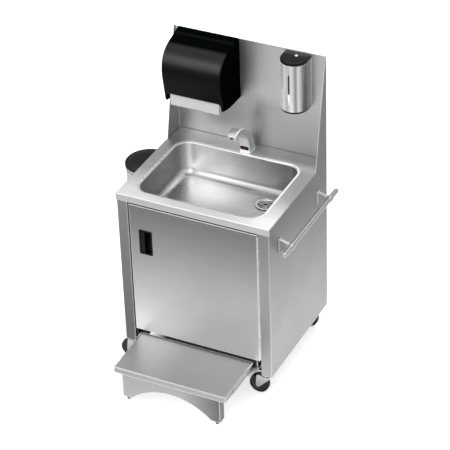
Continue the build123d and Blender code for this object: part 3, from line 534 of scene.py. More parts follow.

# Painted light in these finishes: an edge size gives painted edge highlights, a shade function painted
# shade and reflections, a glow painted light. All the sheets are one stainless steel; the lower levels
# of steel_side, steel_step, steel_bowl and steel_inside are painted shade.
steel_front = brushed("steel_front", 0.97, 0.36, ALONG_X, edge=4 * MM, shade=front_shade)
# the rolled bowl edge glows a little: a painted highlight
steel_lip = brushed("steel_lip", 0.96, 0.26, ALONG_X, strength=0.03, glow=0.16)
steel_side = brushed("steel_side", 0.56, 0.38, ALONG_Y, edge=4 * MM, shade=side_shade)
steel_wall = brushed("steel_wall", 0.96, 0.36, ALONG_Z, tint=-0.012, edge=3.5 * MM, shade=wall_shade)
steel_deck = brushed("steel_deck", 0.97, 0.42, ALONG_X, shade=deck_shade)
steel_bowl = brushed("steel_bowl", 0.84, 0.28, ALONG_X, strength=0.03, shade=bowl_shade, glow=bowl_glow)
steel_step = brushed("steel_step", 0.55, 0.36, ALONG_X, edge=4 * MM, shade=step_shade)
steel_inside = brushed("steel_inside", 0.30, 0.45, ALONG_X)
# painted reflections in tall stripes, and painted light from a glow
steel_soap = brushed(
    "steel_soap", 0.97, 0.22, ALONG_Z, 420, 0.04, metallic=0.75, shade=soap_shade, glow=0.2
)
steel_tube = brushed("steel_tube", 0.85, 0.24, ALONG_Y, 420, 0.05)
# the polished can glows a little: painted light
steel_bin = brushed("steel_bin", 0.97, 0.18, ALONG_Z, 420, 0.03, metallic=0.85, glow=0.07)
steel_drain = polished("steel_drain", 0.85, 0.2)
chrome = polished("chrome", 0.93, 0.12)
satin_chrome = brushed(
    "satin_chrome", 0.92, 0.30, (1, 1, 1), strength=0.02, metallic=0.72, edge=2.5 * MM
)
zinc = polished("zinc", 0.66, 0.28, grain=120, strength=0.08)
black_shell = moulded("black_shell", (0.0010, 0.0016, 0.0016), 0.34, strength=0.03, painted_sheen=True)
black_gloss = moulded("black_gloss", (0.002, 0.002, 0.0022), 0.30, strength=0.02, specular=0.3)
black_inner = moulded("black_inner", (0.008, 0.008, 0.009), 0.5)
grey_plastic = moulded("grey_plastic", (0.22, 0.22, 0.23), 0.45)
hub_plastic = moulded("hub_plastic", (0.04, 0.041, 0.043), 0.35, grain=700)
rubber = moulded("rubber", (0.007, 0.007, 0.007), 0.5, grain=900, strength=0.15)
white_plastic = translucent("white_plastic", (0.80, 0.80, 0.77), 0.4, 1.0)
tubing = translucent("tubing", (0.62, 0.64, 0.65), 0.3, 0.85)
sight_glass = moulded("sight_glass", (0.003, 0.005, 0.02), 0.12, strength=0.0, coat=1.0)
sensor_glass = moulded("sensor_glass", (0.016, 0.001, 0.004), 0.2, strength=0.0, specular=0.3)
paper = embossed_paper()
# painted shade: a black that closes holes where their depth would look dark
painted_hole_shade = moulded("painted_hole_shade", (0.002, 0.002, 0.002), 0.6, strength=0.02)

# ---- CAD nodes that stay, with their finishes ----
KEPT = {
    steel_side: ("side_panel_left", "side_panel_right", "base_sills", "hinge_leaf_jamb"),
    steel_front: ("door_panel", "header_rail", "hinge_leaf_door", "rear_panel"),
    steel_wall: ("backsplash",),
    steel_step: ("step_tread", "step_apron"),
    steel_inside: ("floor_pan",),
    zinc: ("slide_outer_rails", "slide_middle_rails", "slide_inner_rails", "step_roller_brackets",
           "caster_plates", "bin_bracket", "strike_plate", "fasteners"),
    white_plastic: ("drain_tailpiece", "fresh_tank", "waste_tank", "water_heater", "soap_tank"),
    tubing: ("waste_hose", "supply_tubes"),
    black_inner: ("pump", "towel_chassis"),
    grey_plastic: ("magnetic_catch",),
    rubber: ("step_roller_left", "step_roller_right", "feed_roller"),
    paper: ("paper_roll",),
}
for finish, nodes in KEPT.items():
    for node in nodes:
        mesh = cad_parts[node].data
        mesh.materials.clear()
        mesh.materials.append(finish)


# ---- deck and bowl ----
def deck_and_bowl():
    """One pressed sheet: front rim, flat deck, rolled edge, drafted walls and dished floor."""
    corner, side = 14, 14
    mouth_w, mouth_d, mouth_r = 560 * MM, 420 * MM, 60 * MM
    centre = basin_box.mid.x, basin_box.mid.y
    floor_z = basin_box.z0 + 1.2 * MM
    drain = Span("drain_strainer").mid
    edge_r = 5 * MM
    floor_r = 36 * MM
    draft = math.radians(4)

    def ring(out, z):
        size = mouth_w + 2 * out, mouth_d + 2 * out, mouth_r + out
        return [Vector((x, y, z)) for x, y in rounded_outline(*size, corner, side, centre)]

    # profile of the bowl as (distance out from the mouth, height)
    profile = [(11 * MM, DECK_Z), (8 * MM, DECK_Z)]
    wall_z = DECK_Z - edge_r
    profile += arc((edge_r, wall_z), edge_r, 90, 180, 6)
    fillet_z = floor_z + floor_r
    wall_h = wall_z - (fillet_z - floor_r * math.sin(draft))
    wall_out = -wall_h * math.tan(draft)
    for t in (0.2, 0.4, 0.6, 0.8, 1.0):
        profile.append((wall_out * t, wall_z - wall_h * t))
    fillet_out = wall_out - floor_r * math.cos(draft)
    profile += arc((fillet_out, fillet_z), floor_r, -math.degrees(draft), -90, 10)[1:]
    rings = [ring(out, z) for out, z in profile]

    # flat floor running into a shallow dish round the drain
    dish_r, hole_r, dish_depth = 62 * MM, 40 * MM, 2.6 * MM
    last = rings[-1]
    ways = []
    for point in last:
        away = (point - drain).to_2d().normalized()
        ways.append(Vector((away.x, away.y, 0)))
    hub = Vector((drain.x, drain.y, floor_z))
    for t in (0.03, 0.2, 0.4, 0.6, 0.8, 0.94):
        rings.append([p.lerp(hub + way * dish_r, t) for p, way in zip(last, ways)])
    for t in (0.0, 0.25, 0.5, 0.75, 1.0):
        reach = dish_r + (hole_r - dish_r) * t
        drop = Vector((0, 0, -dish_depth * (1 - math.cos(math.pi * t)) / 2))
        rings.append([hub + way * reach + drop for way in ways])

    # flat deck out to its edges, then down the front rim and the side hems
    front, brim, lug = deck_box.y0, deck_box.x1 - CABINET_X, side_right.x1 - CABINET_X - 1.8 * MM
    step_y = CABINET_Y + 170 * MM
    per_side = len(last) // 4
    shift = corner // 2
    corners = [(CABINET_X + lug, deck_box.y1), (CABINET_X - lug, deck_box.y1),
               (CABINET_X - brim, front), (CABINET_X + brim, front)]
    outer = [None] * len(last)
    for k in range(4):
        a, b = corners[k], corners[(k + 1) % 4]
        for s in range(per_side):
            t = s / per_side
            x, y = a[0] + (b[0] - a[0]) * t, a[1] + (b[1] - a[1]) * t
            if k in (1, 3):
                x = CABINET_X + math.copysign(brim if y < step_y else lug, x - CABINET_X)
                order = s if k == 3 else per_side - s
                if order in (1, 2):
                    y = front + (3 + order) * MM
            outer[(shift + k * per_side + s) % len(last)] = Vector((x, y, DECK_Z))
    rim, hem = deck_box.z1 - deck_box.z0, 6 * MM
    fall = [Vector((p.x, p.y, DECK_Z - (rim if p.y < front + 4.5 * MM else hem))) for p in outer]
    rings = [fall, outer] + rings

    shape = Shape().add(bridge(rings, caps=False))
    flat_rings, rolled_rings = 2, 10
    bands = [face // len(last) for face in range(len(shape.faces))]
    shape.slots = [0 if b < flat_rings else 2 if b < rolled_rings else 1 for b in bands]
    finishes = [steel_deck, steel_bowl, steel_lip]
    made = piece("deck_and_bowl", shape, finishes, ["deck", "basin"], sharp=50,
                 closed=False)
    bevelled(made, 3.5 * MM, 4, 50)
    thickened(made, 1.2 * MM)
    made.modifiers.new("flat faces", "WEIGHTED_NORMAL").keep_sharp = False


def strainer():
    """Strainer of spokes and hoops over a dark drain, in a bright flange."""
    box = Span("drain_strainer")
    centre = Vector((box.mid.x, box.mid.y, 0))
    top = box.z1
    shape = Shape()
    flange = [(41, -2.4), (43.5, -1.6), (43, -0.6), (38, -0.2), (34, -0.9), (31, -5)]
    flange = in_mm(flange, top)
    flange += [(30 * MM, box.z0), (32 * MM, box.z0), (33 * MM, top - 5 * MM)]
    shape.add(revolved(flange, centre, looped=True))
    # dark disc under the spokes: painted shade for the depth of the drain
    shape.add(revolved([(30.5 * MM, top - 6 * MM), (30.5 * MM, top - 5 * MM)], centre), 1)
    spokes = 12
    for k in range(spokes):
        angle = 2 * math.pi * k / spokes
        way = Vector((math.cos(angle), math.sin(angle), 0))
        across = Vector((-way.y, way.x, 0))
        rings = []
        for reach, half in in_mm([(9, 0.9), (20, 1.6), (30.5, 2.2)]):
            height = top - 3 * MM - 1.6 * MM * (reach / (30 * MM)) ** 2
            middle = centre + way * reach + Vector((0, 0, height))
            lift = Vector((0, 0, 0.8 * MM))
            wide = across * half
            rings.append([middle - wide - lift, middle + wide - lift,
                          middle + wide + lift, middle - wide + lift])
        shape.add(bridge(rings))
    rod = [(1.3 * math.cos(k * math.pi / 4), math.sin(k * math.pi / 4) - 3.3) for k in range(8)]
    for radius in (10, 20):
        hoop = in_mm([(radius + a, b) for a, b in rod], top)
        shape.add(revolved(hoop, centre, looped=True))
    piece("strainer", shape, [steel_drain, painted_hole_shade], ["drain_strainer"])


deck_and_bowl()
strainer()


# ---- faucet ----
# side outlines as (distance in front of the back, height above the deck)
SPOUT_BACK = [(0, 0), (3, 26), (12, 50), (28, 80), (48, 105), (69, 127), (93, 144), (115, 152),
              (137, 154), (155, 149), (167, 141)]
SPOUT_FRONT = [(52, 0), (55, 33), (62, 58), (73, 82), (86, 99), (101, 111), (114, 121), (126, 130),
               (139, 135), (151, 131), (164, 124)]


def faucet():
    """Gooseneck of rectangular section that narrows to its tip, with rounded edges."""
    box = Span("faucet_body")
    base_z = DECK_Z + 0.2 * MM
    half_base, half_tip, tip_start = 25 * MM, 20.5 * MM, 55 * MM
    radius = 5.5 * MM

    def place(pairs):
        return smooth_curve([(box.y1 - a * MM, base_z + b * MM, 0) for a, b in pairs], 5)

    rings = []
    for a, b in zip(place(SPOUT_BACK), place(SPOUT_FRONT)):
        middle, up = (a + b) / 2, a - b
        depth = up.length
        up.normalize()
        reach = max(0.0, box.y1 - middle.x - tip_start) / (box.y1 - box.y0 - tip_start)
        half = half_base + (half_tip - half_base) * reach
        outline = rounded_outline(2 * half, depth, min(radius, depth * 0.42), 6)
        rings.append(
            [Vector((box.mid.x + u, middle.x + up.x * v, middle.y + up.y * v)) for u, v in outline]
        )
    tip = rings[-1]
    centre = sum(tip, Vector()) / len(tip)
    ahead = Vector((0, -1, 0.12)).normalized()
    for push, shrink in ((0.9 * MM, 0.97), (1.4 * MM, 0.90)):
        rings.append([centre + (p - centre) * shrink + ahead * push for p in tip])
    shape = Shape().add(bridge(rings))
    foot = rounded_outline(2 * half_base + 2 * MM, 54 * MM, 7 * MM, 5)
    foot_y = box.y1 - 26.5 * MM
    rings = []
    for k, z in ((1.0, DECK_Z), (1.0, base_z + 1.2 * MM), (0.98, base_z + 2.0 * MM)):
        rings.append([Vector((box.mid.x + u * k, foot_y + v * k, z)) for u, v in foot])
    shape.add(bridge(rings))
    piece("faucet_spout", shape, [satin_chrome], ["faucet_body"], sharp=40)

    # dark round outlet in the face of the tip, a disc of painted shade for the bore, inside a bright
    # ring
    outlet = centre + ahead * 1.2 * MM
    turn = Vector((0, 0, 1)).rotation_difference(ahead).to_matrix().to_4x4()
    shape = Shape()
    bore = [(0.3, -2), (6.7, -2), (6.7, 0.6), (0.3, 0.9)]
    ring = [(6.8, -1.5), (8.0, -1.5), (7.9, 0.6), (7.1, 0.9)]
    for profile, slot, looped in ((bore, 1, False), (ring, 0, True)):
        verts, faces = revolved(in_mm(profile), (0, 0, 0), segments=36, looped=looped)
        shape.add(([outlet + (turn @ v) for v in verts], faces), slot)
    piece("faucet_outlet", shape, [chrome, painted_hole_shade], ["faucet_aerator"])

    # oval sensor window low on the front of the column
    lens = Span("faucet_lens")
    lens_w, lens_h = lens.x1 - lens.x0, lens.z1 - lens.z0
    lean = 0.09
    rings = []
    for k, out in ((1.0, 3.4), (1.0, 0.9), (0.96, 0.3), (0.86, -0.2), (0.6, -0.5)):
        outline = rounded_outline(lens_w * k, lens_h * k, lens_h * 0.46 * k, 8)
        front_y = lens.mid.y + out * MM
        rings.append(
            [Vector((lens.mid.x + u, front_y - v * lean, lens.mid.z + v)) for u, v in outline]
        )
    piece("sensor_window", bridge(rings), [sensor_glass], ["faucet_lens"])


faucet()


# ---- towel dispenser ----
# side outline as (distance in front of the back, distance below the top)
COVER_CROWN = [(0, 0), (26, 5.5), (54.5, 13), (109.5, 26), (147, 48), (168, 80), (175.5, 118),
               (174, 150), (169, 182), (160, 232)]
COVER_CHEEK = [(153.5, 266), (148, 273), (133, 277), (79.5, 285), (0, 281)]


def towel_cover():
    """Moulded cover: bulged front, flat drafted sides, rounded side edges, open below."""
    box = Span("towel_cover")
    half = (box.x1 - box.x0) / 2
    draft = 0.035
    skin, edge_r = 2.5 * MM, 9 * MM
    heart = Vector((box.y1 - 80 * MM, box.z0 + 140 * MM))

    def to_side(a, b):
        return Vector((box.y1 - a * MM, box.z1 - b * MM))

    crown = smooth_curve([to_side(*p) for p in COVER_CROWN], 6)
    lip = len(crown) - 1
    cheek = smooth_curve([crown[-1]] + [to_side(*p) for p in COVER_CHEEK], 3)[1:]
    outline = crown + cheek

    def inset(amount):
        """The side outline drawn in by an amount, except along the wall."""
        moved = []
        last = len(outline) - 1
        for i, point in enumerate(outline):
            along = (outline[min(i + 1, last)] - outline[max(i - 1, 0)]).normalized()
            inward = Vector((-along.y, along.x))
            if inward.dot(heart - point) < 0:
                inward = -inward
            target = point + inward * amount
            if i in (0, last):
                target.x = point.x
            moved.append(target)
        return moved

    def wall_x(side, y):
        return box.mid.x + side * (half - draft * (box.y1 - y))

    steps, columns = 6, 10
    shape = Shape()
    ends = []
    for side in (-1, 1):
        rings = [[Vector((wall_x(side, p.x), p.x, p.y)) for p in inset(edge_r + 1.5 * MM)]]
        for k in range(steps + 1):
            angle = math.pi / 2 * k / steps
            drawn = inset(edge_r * (1 - math.sin(angle)))
            inward = edge_r * (1 - math.cos(angle))
            rings.append([Vector((wall_x(side, p.x) - side * inward, p.x, p.y)) for p in drawn])
        verts, faces = bridge(rings, closed=False, caps=False)
        faces.append(tuple(range(len(outline))))
        if side > 0:
            faces = [tuple(reversed(face)) for face in faces]
        shape.add((verts, faces))
        ends.append(rings[-1][: lip + 1])
    bands = []
    for c in range(columns + 1):
        t = c / columns
        bulge = 1.5 * MM * (1 - (2 * t - 1) ** 2)
        push = Vector((0, -bulge, bulge * 0.4))
        bands.append([a.lerp(b, t) + push for a, b in zip(*ends)])
    shape.add(bridge(bands, closed=False, caps=False))

    mesh = bpy.data.meshes.new("towel_shell")
    mesh.from_pydata(shape.verts, [], shape.faces)
    turned_out(mesh, 0.05 * MM)
    upper = [face for face in mesh.polygons if face.center.z > box.z1 - 30 * MM]
    if sum(face.normal.z * face.area for face in upper) < 0:
        mesh.flip_normals()
    mesh.materials.append(black_shell)
    made = attached("towel_shell", mesh, 40, ["towel_cover"], "towel_cover")
    thickened(made, skin)
    bevelled(made, 0.8 * MM, 2, 50)


def paper_tail():
    """Hanging end of the towel: a thin curling sheet with soft creases and a torn edge."""
    box = Span("paper_tail")
    columns, rows = 120, 40
    dice = random.Random(7)
    teeth = [dice.uniform(-0.6, 0.6) * MM for _ in range(columns + 1)]
    path = smooth_curve([(9, 0), (4, 18), (1, 41), (0, 73)], 14)
    sheet = []
    for c in range(columns + 1):
        u = c / columns
        line = []
        for r in range(rows + 1):
            v = r / rows
            spot = path[int(v * (len(path) - 1))]
            wave = 0.9 * math.sin(9.5 * u + 2.2 * v) * v + 0.5 * math.sin(23 * u + 1.0) * v * v
            crease = 0.35 * math.sin(38 * v + 1.5 * math.sin(5 * u))
            y = box.y0 + (spot[0] + 0.9 + (wave + crease) * min(1.0, 3 * v)) * MM
            z = box.z1 - spot[1] * MM
            if r == rows:
                z += teeth[c] + (0.5 * MM if c % 2 else -0.5 * MM)
            line.append(Vector((box.x0 + (box.x1 - box.x0) * u, y, z)))
        sheet.append(line)
    piece("paper_tail_sheet", bridge(sheet, closed=False, caps=False), [paper],
          ["paper_tail"], skin=0.35 * MM, closed=False)


towel_cover()
paper_tail()


# ---- soap dispenser ----
def d_outline(box, inset, steps):
    """Plan of the dispenser: straight sides from the wall and a half round front."""
    radius = (box.x1 - box.x0) / 2 - inset
    middle = box.mid.x, box.y0 + (box.x1 - box.x0) / 2
    front = arc(middle, radius, 180, 360, steps)
    return [(middle[0] - radius, box.y1)] + front + [(middle[0] + radius, box.y1)]


def stacked(box, top, levels):
    """Body on the dispenser's plan; levels are insets and heights above the top, in mm."""
    rings = []
    for inset, z in in_mm(levels, top):
        rings.append([Vector((x, y, z)) for x, y in d_outline(box, inset, 56)])
    return Shape().add(bridge(rings))


def soap_dispenser():
    """Half-round steel shell with a level slot, on a black base under a black hinged lid."""
    box = Span("soap_body")
    lid, base, window = Span("soap_lid"), Span("soap_base"), Span("soap_window")
    top = lid.z0 - 1.2 * MM
    slot_half = 4.0 * MM

    # shell, as columns round the plan and rows up the height, with the slot left open
    middle = box.mid.x
    plan = {round(x, 6) for x, _ in d_outline(box, 0, 44)[1:-1]}
    plan = sorted(plan | {middle - slot_half, middle + slot_half})
    radius = (box.x1 - box.x0) / 2
    centre_y = box.y0 + radius
    columns = [(middle - radius, box.y1)]
    columns += [(x, centre_y - math.sqrt(max(radius ** 2 - (x - middle) ** 2, 0))) for x in plan]
    columns.append((middle + radius, box.y1))
    levels = [box.z0, box.z0 + 1.5 * MM, window.z0, window.z1, top - 1.5 * MM, top]
    grid = [[Vector((x, y, z)) for x, y in columns] for z in levels]
    verts, faces = bridge(grid, closed=False, caps=False)
    kept = []
    for face in faces:
        mean = sum((verts[i] for i in face), Vector()) / 4
        in_slot = abs(mean.x - middle) < slot_half and window.z0 < mean.z < window.z1
        if not (in_slot and mean.y < centre_y):
            kept.append(tuple(reversed(face)))
    piece("soap_shell", (verts, kept), [steel_soap], ["soap_body"],
          skin=1.2 * MM, closed=False, sharp=60)

    glass = rounded_outline(window.x1 - window.x0, window.z1 - window.z0, 1.5 * MM, 4)
    x, z = window.mid.x, window.mid.z
    rings = []
    for k, y in ((1.0, window.y1), (1.0, window.y0 + 0.8 * MM), (0.9, window.y0 + 0.3 * MM)):
        rings.append([Vector((x + a * k, y, z + b * (1 - (1 - k) * 0.1))) for a, b in glass])
    piece("soap_sight_glass", bridge(rings), [sight_glass], ["soap_window"])

    # lid with a rounded edge and its key boss
    lid_top = lid.z1 - 2.0 * MM
    low = (lid.z0 - lid_top) / MM
    edge = [(1.2, low), (0, low + 1.2), (0, -4), (0.5, -2.2), (1.9, -0.8), (4, -0.1), (8, 0)]
    shape = stacked(lid, lid_top, edge)
    key = (lid.mid.x + 4 * MM, lid.y1 - 20 * MM, 0)
    boss = [(0.3, 0.0), (7.2, 0.0), (7.2, 1.2), (6.4, 1.9), (2.6, 2.0), (2.2, 1.2), (0.3, 1.1)]
    shape.add(revolved(in_mm(boss, lid_top), key, segments=40), 1)
    piece("soap_cap", shape, [black_gloss, chrome], ["soap_lid"], "soap_lid",
          sharp=40)

    # base with the push nozzle
    shape = stacked(base, base.z1, [(7, -9), (2.6, -8.6), (0.6, -7.2), (0, -5), (0, 0)])
    nozzle = [(3.2, 1.0), (3.2, -6.0), (4.6, -7.4), (8.2, -7.0), (9.0, -5.8), (9.4, 0.5)]
    spot = (base.mid.x, base.y0 + 31 * MM, 0)
    shape.add(revolved(in_mm(nozzle, base.z1 - 9 * MM), spot, segments=40, looped=True))
    piece("soap_foot", shape, [black_gloss], ["soap_base"], sharp=40)


soap_dispenser()


# ---- side handle ----
def handle():
    """Round bar with domed end plugs, held by two wedge brackets with collars."""
    bar = Span("handle_bar")
    radius = (bar.x1 - bar.x0) / 2
    length = bar.y1 - bar.y0
    profile = [(0.4 * MM, 0), (radius * 0.7, 0.4 * MM), (radius - 1.2 * MM, 1.6 * MM),
               (radius - 1.0 * MM, 3.4 * MM), (radius, 3.8 * MM)]
    far = [(r, length - h) for r, h in reversed(profile)]
    middle = [(radius, length * t) for t in (0.25, 0.5, 0.75)]
    start = (bar.mid.x, bar.y0, bar.mid.z)
    piece("push_bar", revolved(profile + middle + far, start, "Y", 48), [steel_tube],
          ["handle_bar"], sharp=50)

    bracket = Span("handle_brackets")
    wall = side_right.x1 + 0.3 * MM
    reach = bar.mid.x - 7 * MM
    gusset = [(22, wall + 2 * MM), (-37, wall + 2 * MM), (-36, wall + 6 * MM), (-10, reach),
              (8, reach), (21, wall + 6 * MM)]
    gusset = [(bar.mid.z + h * MM, x) for h, x in gusset]
    shape = Shape()
    for y in (bracket.y0 + 15 * MM, bracket.y1 - 15 * MM):
        shape.add(extruded(gusset, "Y", y - 7 * MM, y + 7 * MM))
        plate = rounded_outline(30 * MM, 69 * MM, 5 * MM, 5, 1, (y, bar.mid.z - 7.5 * MM))
        shape.add(extruded(plate, "X", wall, wall + 3 * MM))
        collar = in_mm([(0.2, -8), (2.2, -8), (3, -7), (3, 7), (2.2, 8), (0.2, 8)])
        collar = [(radius + r, h) for r, h in collar]
        shape.add(revolved(collar, (bar.mid.x, y, bar.mid.z), "Y", 40, looped=True))
    piece("handle_mounts", shape, [steel_tube], ["handle_brackets"],
          bevel=0.9 * MM)


handle()


# ---- waste bin ----
def bin_and_lid():
    """Round steel can with a rolled rim, and a domed black lid hinged towards the cabinet."""
    can, lid = Span("bin_can"), Span("bin_lid")
    lid_r = (lid.y1 - lid.y0) / 2
    centre = Vector((lid.x0 + lid_r, lid.mid.y, 0))
    radius = 100 * MM
    rim = lid.z0 - 1.0 * MM
    outside = in_mm([(0.5, 1.5), (60, 1.5), (80, 0)], can.z0)
    outside += arc((radius - 7 * MM, can.z0 + 7 * MM), 7 * MM, -90, 0, 6)
    outside += [(radius, can.z0 + 18 * MM), (radius, rim - 40 * MM), (radius, rim - 7 * MM)]
    outside += arc((radius, rim - 3 * MM), 3 * MM, -80, 180, 10)
    inside = [(radius - 1.2 * MM, rim - 8 * MM), (radius - 1.2 * MM, can.z0 + 8 * MM),
              (radius - 6 * MM, can.z0 + 3.2 * MM), (0.5 * MM, can.z0 + 2.8 * MM)]
    shape = Shape().add(revolved(outside + inside, centre, segments=96))
    pivot_x = lid.x1 - 2.5 * MM
    pivot_z = lid.z0 + 3.5 * MM
    for side in (-1, 1):
        near, far = sorted((lid.mid.y + side * 14 * MM, lid.mid.y + side * 17 * MM))
        low = (pivot_x - 4 * MM, near, rim - 5 * MM)
        shape.add(block(low, (pivot_x + 3 * MM, far, pivot_z + 3 * MM)))
    pin = in_mm([(0.2, -17), (1.4, -17), (1.4, 17), (0.2, 17)])
    shape.add(revolved(pin, (pivot_x, lid.mid.y, pivot_z), "Y", 20))
    piece("bin_shell", shape, [steel_bin], ["bin_can"], "bin", sharp=40)

    top = [(0.5, 14.6), (20, 14.4), (50, 13.2), (74, 11.2), (88, 8.4), (91, 7.0), (94, 6.2),
           (100, 6.4), (103.2, 6.0), (104.7, 4.4), (105, 2.4), (104.4, 0.6), (103, 0.0)]
    scale = lid_r / 105
    under = [(90, 0.0), (88, 2.0), (50, 6.0), (0.5, 7.0)]
    profile = [(r * scale, lid.z0 + h * MM) for r, h in top + under]
    verts, faces = revolved(profile, centre, segments=96)
    verts = [Vector((min(v.x, lid.x1), v.y, v.z)) for v in verts]
    piece("bin_cap", (verts, faces), [black_gloss], ["bin_lid"], "bin_lid", sharp=50)


bin_and_lid()


# ---- casters ----
def caster(place):
    """Swivel fork with pressed cheeks, a tyre on a ribbed hub, and its axle bolt."""
    fork, wheel = Span(f"caster_fork_{place}"), Span(f"caster_wheel_{place}")
    centre = wheel.mid
    half = (wheel.y1 - wheel.y0) / 2
    swivel = Vector((fork.x1 - 26 * MM, centre.y, 0))

    tyre = in_mm([(30.2, -13.5), (33, -14.6), (39, -14.4), (42.2, -12), (43.4, -6), (43.5, 0)])
    tyre += [(r, -h) for r, h in reversed(tyre[:-1])]
    shape = Shape().add(revolved(tyre, centre, "Y", 72, looped=True))
    hub = [(4.2, -15), (11, -15), (12.2, -13.6), (12.6, -9), (25, -8.2), (28.2, -12.6), (30.1, -13.2)]
    hub = in_mm(hub)
    hub += [(r, -h) for r, h in reversed(hub)]
    shape.add(revolved(hub, centre, "Y", 72, looped=True), 1)
    ribs = 8
    for k in range(ribs):
        angle = 2 * math.pi * k / ribs
        way = Vector((math.cos(angle), 0, math.sin(angle)))
        across = Vector((-way.z, 0, way.x))
        for side in (-1, 1):
            rings = []
            for reach, rise in in_mm([(12, 13), (27, 11.4)]):
                root = centre + way * reach + Vector((0, side * 7.5 * MM, 0))
                crest = centre + way * reach + Vector((0, side * rise, 0))
                rings.append([root + across * 1.2 * MM, root - across * 1.2 * MM,
                              crest - across * 0.8 * MM, crest + across * 0.8 * MM])
            shape.add(bridge(rings), 1)
    piece(f"wheel_{place}_tyre", shape, [rubber, hub_plastic],
          [f"caster_wheel_{place}"], f"wheel_{place}", sharp=40)

    top = fork.z1
    shape = Shape()
    head = [(5.2, -3.4), (24.5, -3.4), (26, -2.2), (25.6, -0.9), (23.5, -0.2), (5.2, 0.0)]
    shape.add(revolved(in_mm(head, top), swivel, looped=True))
    x, z = centre.x, centre.z
    cheek = [(z - 10 * MM, x - 6 * MM), (z - 11 * MM, x), (z - 10 * MM, x + 6 * MM),
             (z - 4 * MM, x + 11 * MM), (top - 14 * MM, swivel.x + 17 * MM),
             (top - 2 * MM, swivel.x + 19 * MM), (top - 2 * MM, x - 4 * MM),
             (top - 10 * MM, x - 7 * MM), (z - 3 * MM, x - 11 * MM)]
    inner, outer = half + 2 * MM, half + 4.4 * MM
    for side in (-1, 1):
        ends = sorted((centre.y + side * inner, centre.y + side * outer))
        shape.add(extruded(cheek, "Y", *ends))
    bridge_half = half + 4.2 * MM
    low = (centre.x - 4 * MM, centre.y - bridge_half, top - 3.6 * MM)
    shape.add(block(low, (swivel.x + 4 * MM, centre.y + bridge_half, top - 0.6 * MM)))
    for side in (-1, 1):
        nut = [(0.3, 0), (7.4, 0), (7.6, 0.8), (6.2, 1.2), (6.0, 3.6), (4.6, 4.2), (0.3, 4.2)]
        nut = [(r * MM, side * (outer + h * MM)) for r, h in nut]
        shape.add(revolved(nut, centre, "Y", 24))
    axle = [(0.3 * MM, -outer), (3.9 * MM, -outer), (3.9 * MM, outer), (0.3 * MM, outer)]
    shape.add(revolved(axle, centre, "Y", 24))
    piece(f"caster_{place}_fork", shape, [zinc], [f"caster_fork_{place}"],
          f"caster_{place}", bevel=0.6 * MM, sharp=40)


for corner_name in ("front_left", "front_right", "rear_left", "rear_right"):
    caster(corner_name)


# ---- door pull ----
def door_pull():
    """Recessed cup with a raised frame, and the paddle that fingers press."""
    cup, pad = Span("pull_housing"), Span("pull_paddle")
    middle = Vector((cup.mid.x, cup.y0, cup.mid.z))
    width, height = cup.x1 - cup.x0, cup.z1 - cup.z0
    back = (cup.y1 - cup.y0) / MM
    # width, height, corner radius and distance behind the front, in millimetres
    steps = [(53, 112, 3.5, back), (53, 112, 3.5, 1.9), (60, 119, 5, 1.8), (60, 119, 5, 0.8),
             (58.8, 117.8, 4.5, 0.1), (50.4, 107.4, 3, 0), (49, 106, 2.5, 0.8),
             (48.4, 105.4, 2.5, back - 3.2), (46, 103, 2.2, back - 2)]
    rings = []
    for w, h, r, y in steps:
        outline = rounded_outline(w / 60 * width, h / 119 * height, r * MM, 5)
        rings.append([middle + Vector((a, y * MM, b)) for a, b in outline])
    piece("pull_cup", bridge(rings), [black_gloss], ["pull_housing"], "door",
          sharp=40)

    # paddle: a flat grip with rolled edges, round its pin on the left
    pivot = Vector((pad.x0 + 2.8 * MM, pad.mid.y, 0))
    section = arc((0, 0), 2.6 * MM, 100, 260, 8) + in_mm([(8, -2.6), (14.2, -2.9)])
    section += arc((15.0 * MM, -1.4 * MM), 1.4 * MM, -70, 80, 5) + in_mm([(13, 0.6), (6, 1.0)])
    outline = [(pivot.x + a, pivot.y + b) for a, b in section]
    shape = Shape().add(extruded(outline, "Z", pad.z0, pad.z1))
    piece("pull_grip", shape, [black_gloss], ["pull_paddle"], "pull",
          bevel=0.5 * MM, sharp=40)


door_pull()


# ---- floor, light and camera ----
# brightness of the floor as the metal sees it, near the cabinet and further out
FLOOR_NEAR, FLOOR_FAR = 1.0, 0.46
# the floor as the camera sees it: own light, tone, and depth of the shadow under the cabinet
FLOOR_GLOW, FLOOR_TONE, SHADOW = 0.62, 0.85, 0.97
# light of the surroundings, and soft cards in them: the level of a card, then for x, y, z and
# again x, y, z where a direction comes onto the card and where it is fully on it
AMBIENT = 0.30
NONE = (None, None)
CARDS = (
    (1.55, (NONE, (-0.35, -0.7), (0.02, 0.2), (0.6, 0.1), NONE, (0.84, 0.62))),
    (2.6, (NONE, (0.0, 0.3), (0.66, 0.84), NONE, NONE, NONE)),
    (0.5, (NONE, (0.1, -0.3), (0.6, 0.8), NONE, NONE, NONE)),
    (0.7, ((0.6, 0.85), NONE, (-0.1, 0.1), NONE, NONE, (0.7, 0.5))),
    (0.5, ((-0.6, -0.85), NONE, (-0.1, 0.1), NONE, NONE, (0.7, 0.5))),
)
LAMP_PLACE, LAMP_SIZE, LAMP_WATTS = Vector((-1.4, -2.2, 2.4)), 2.0, 30


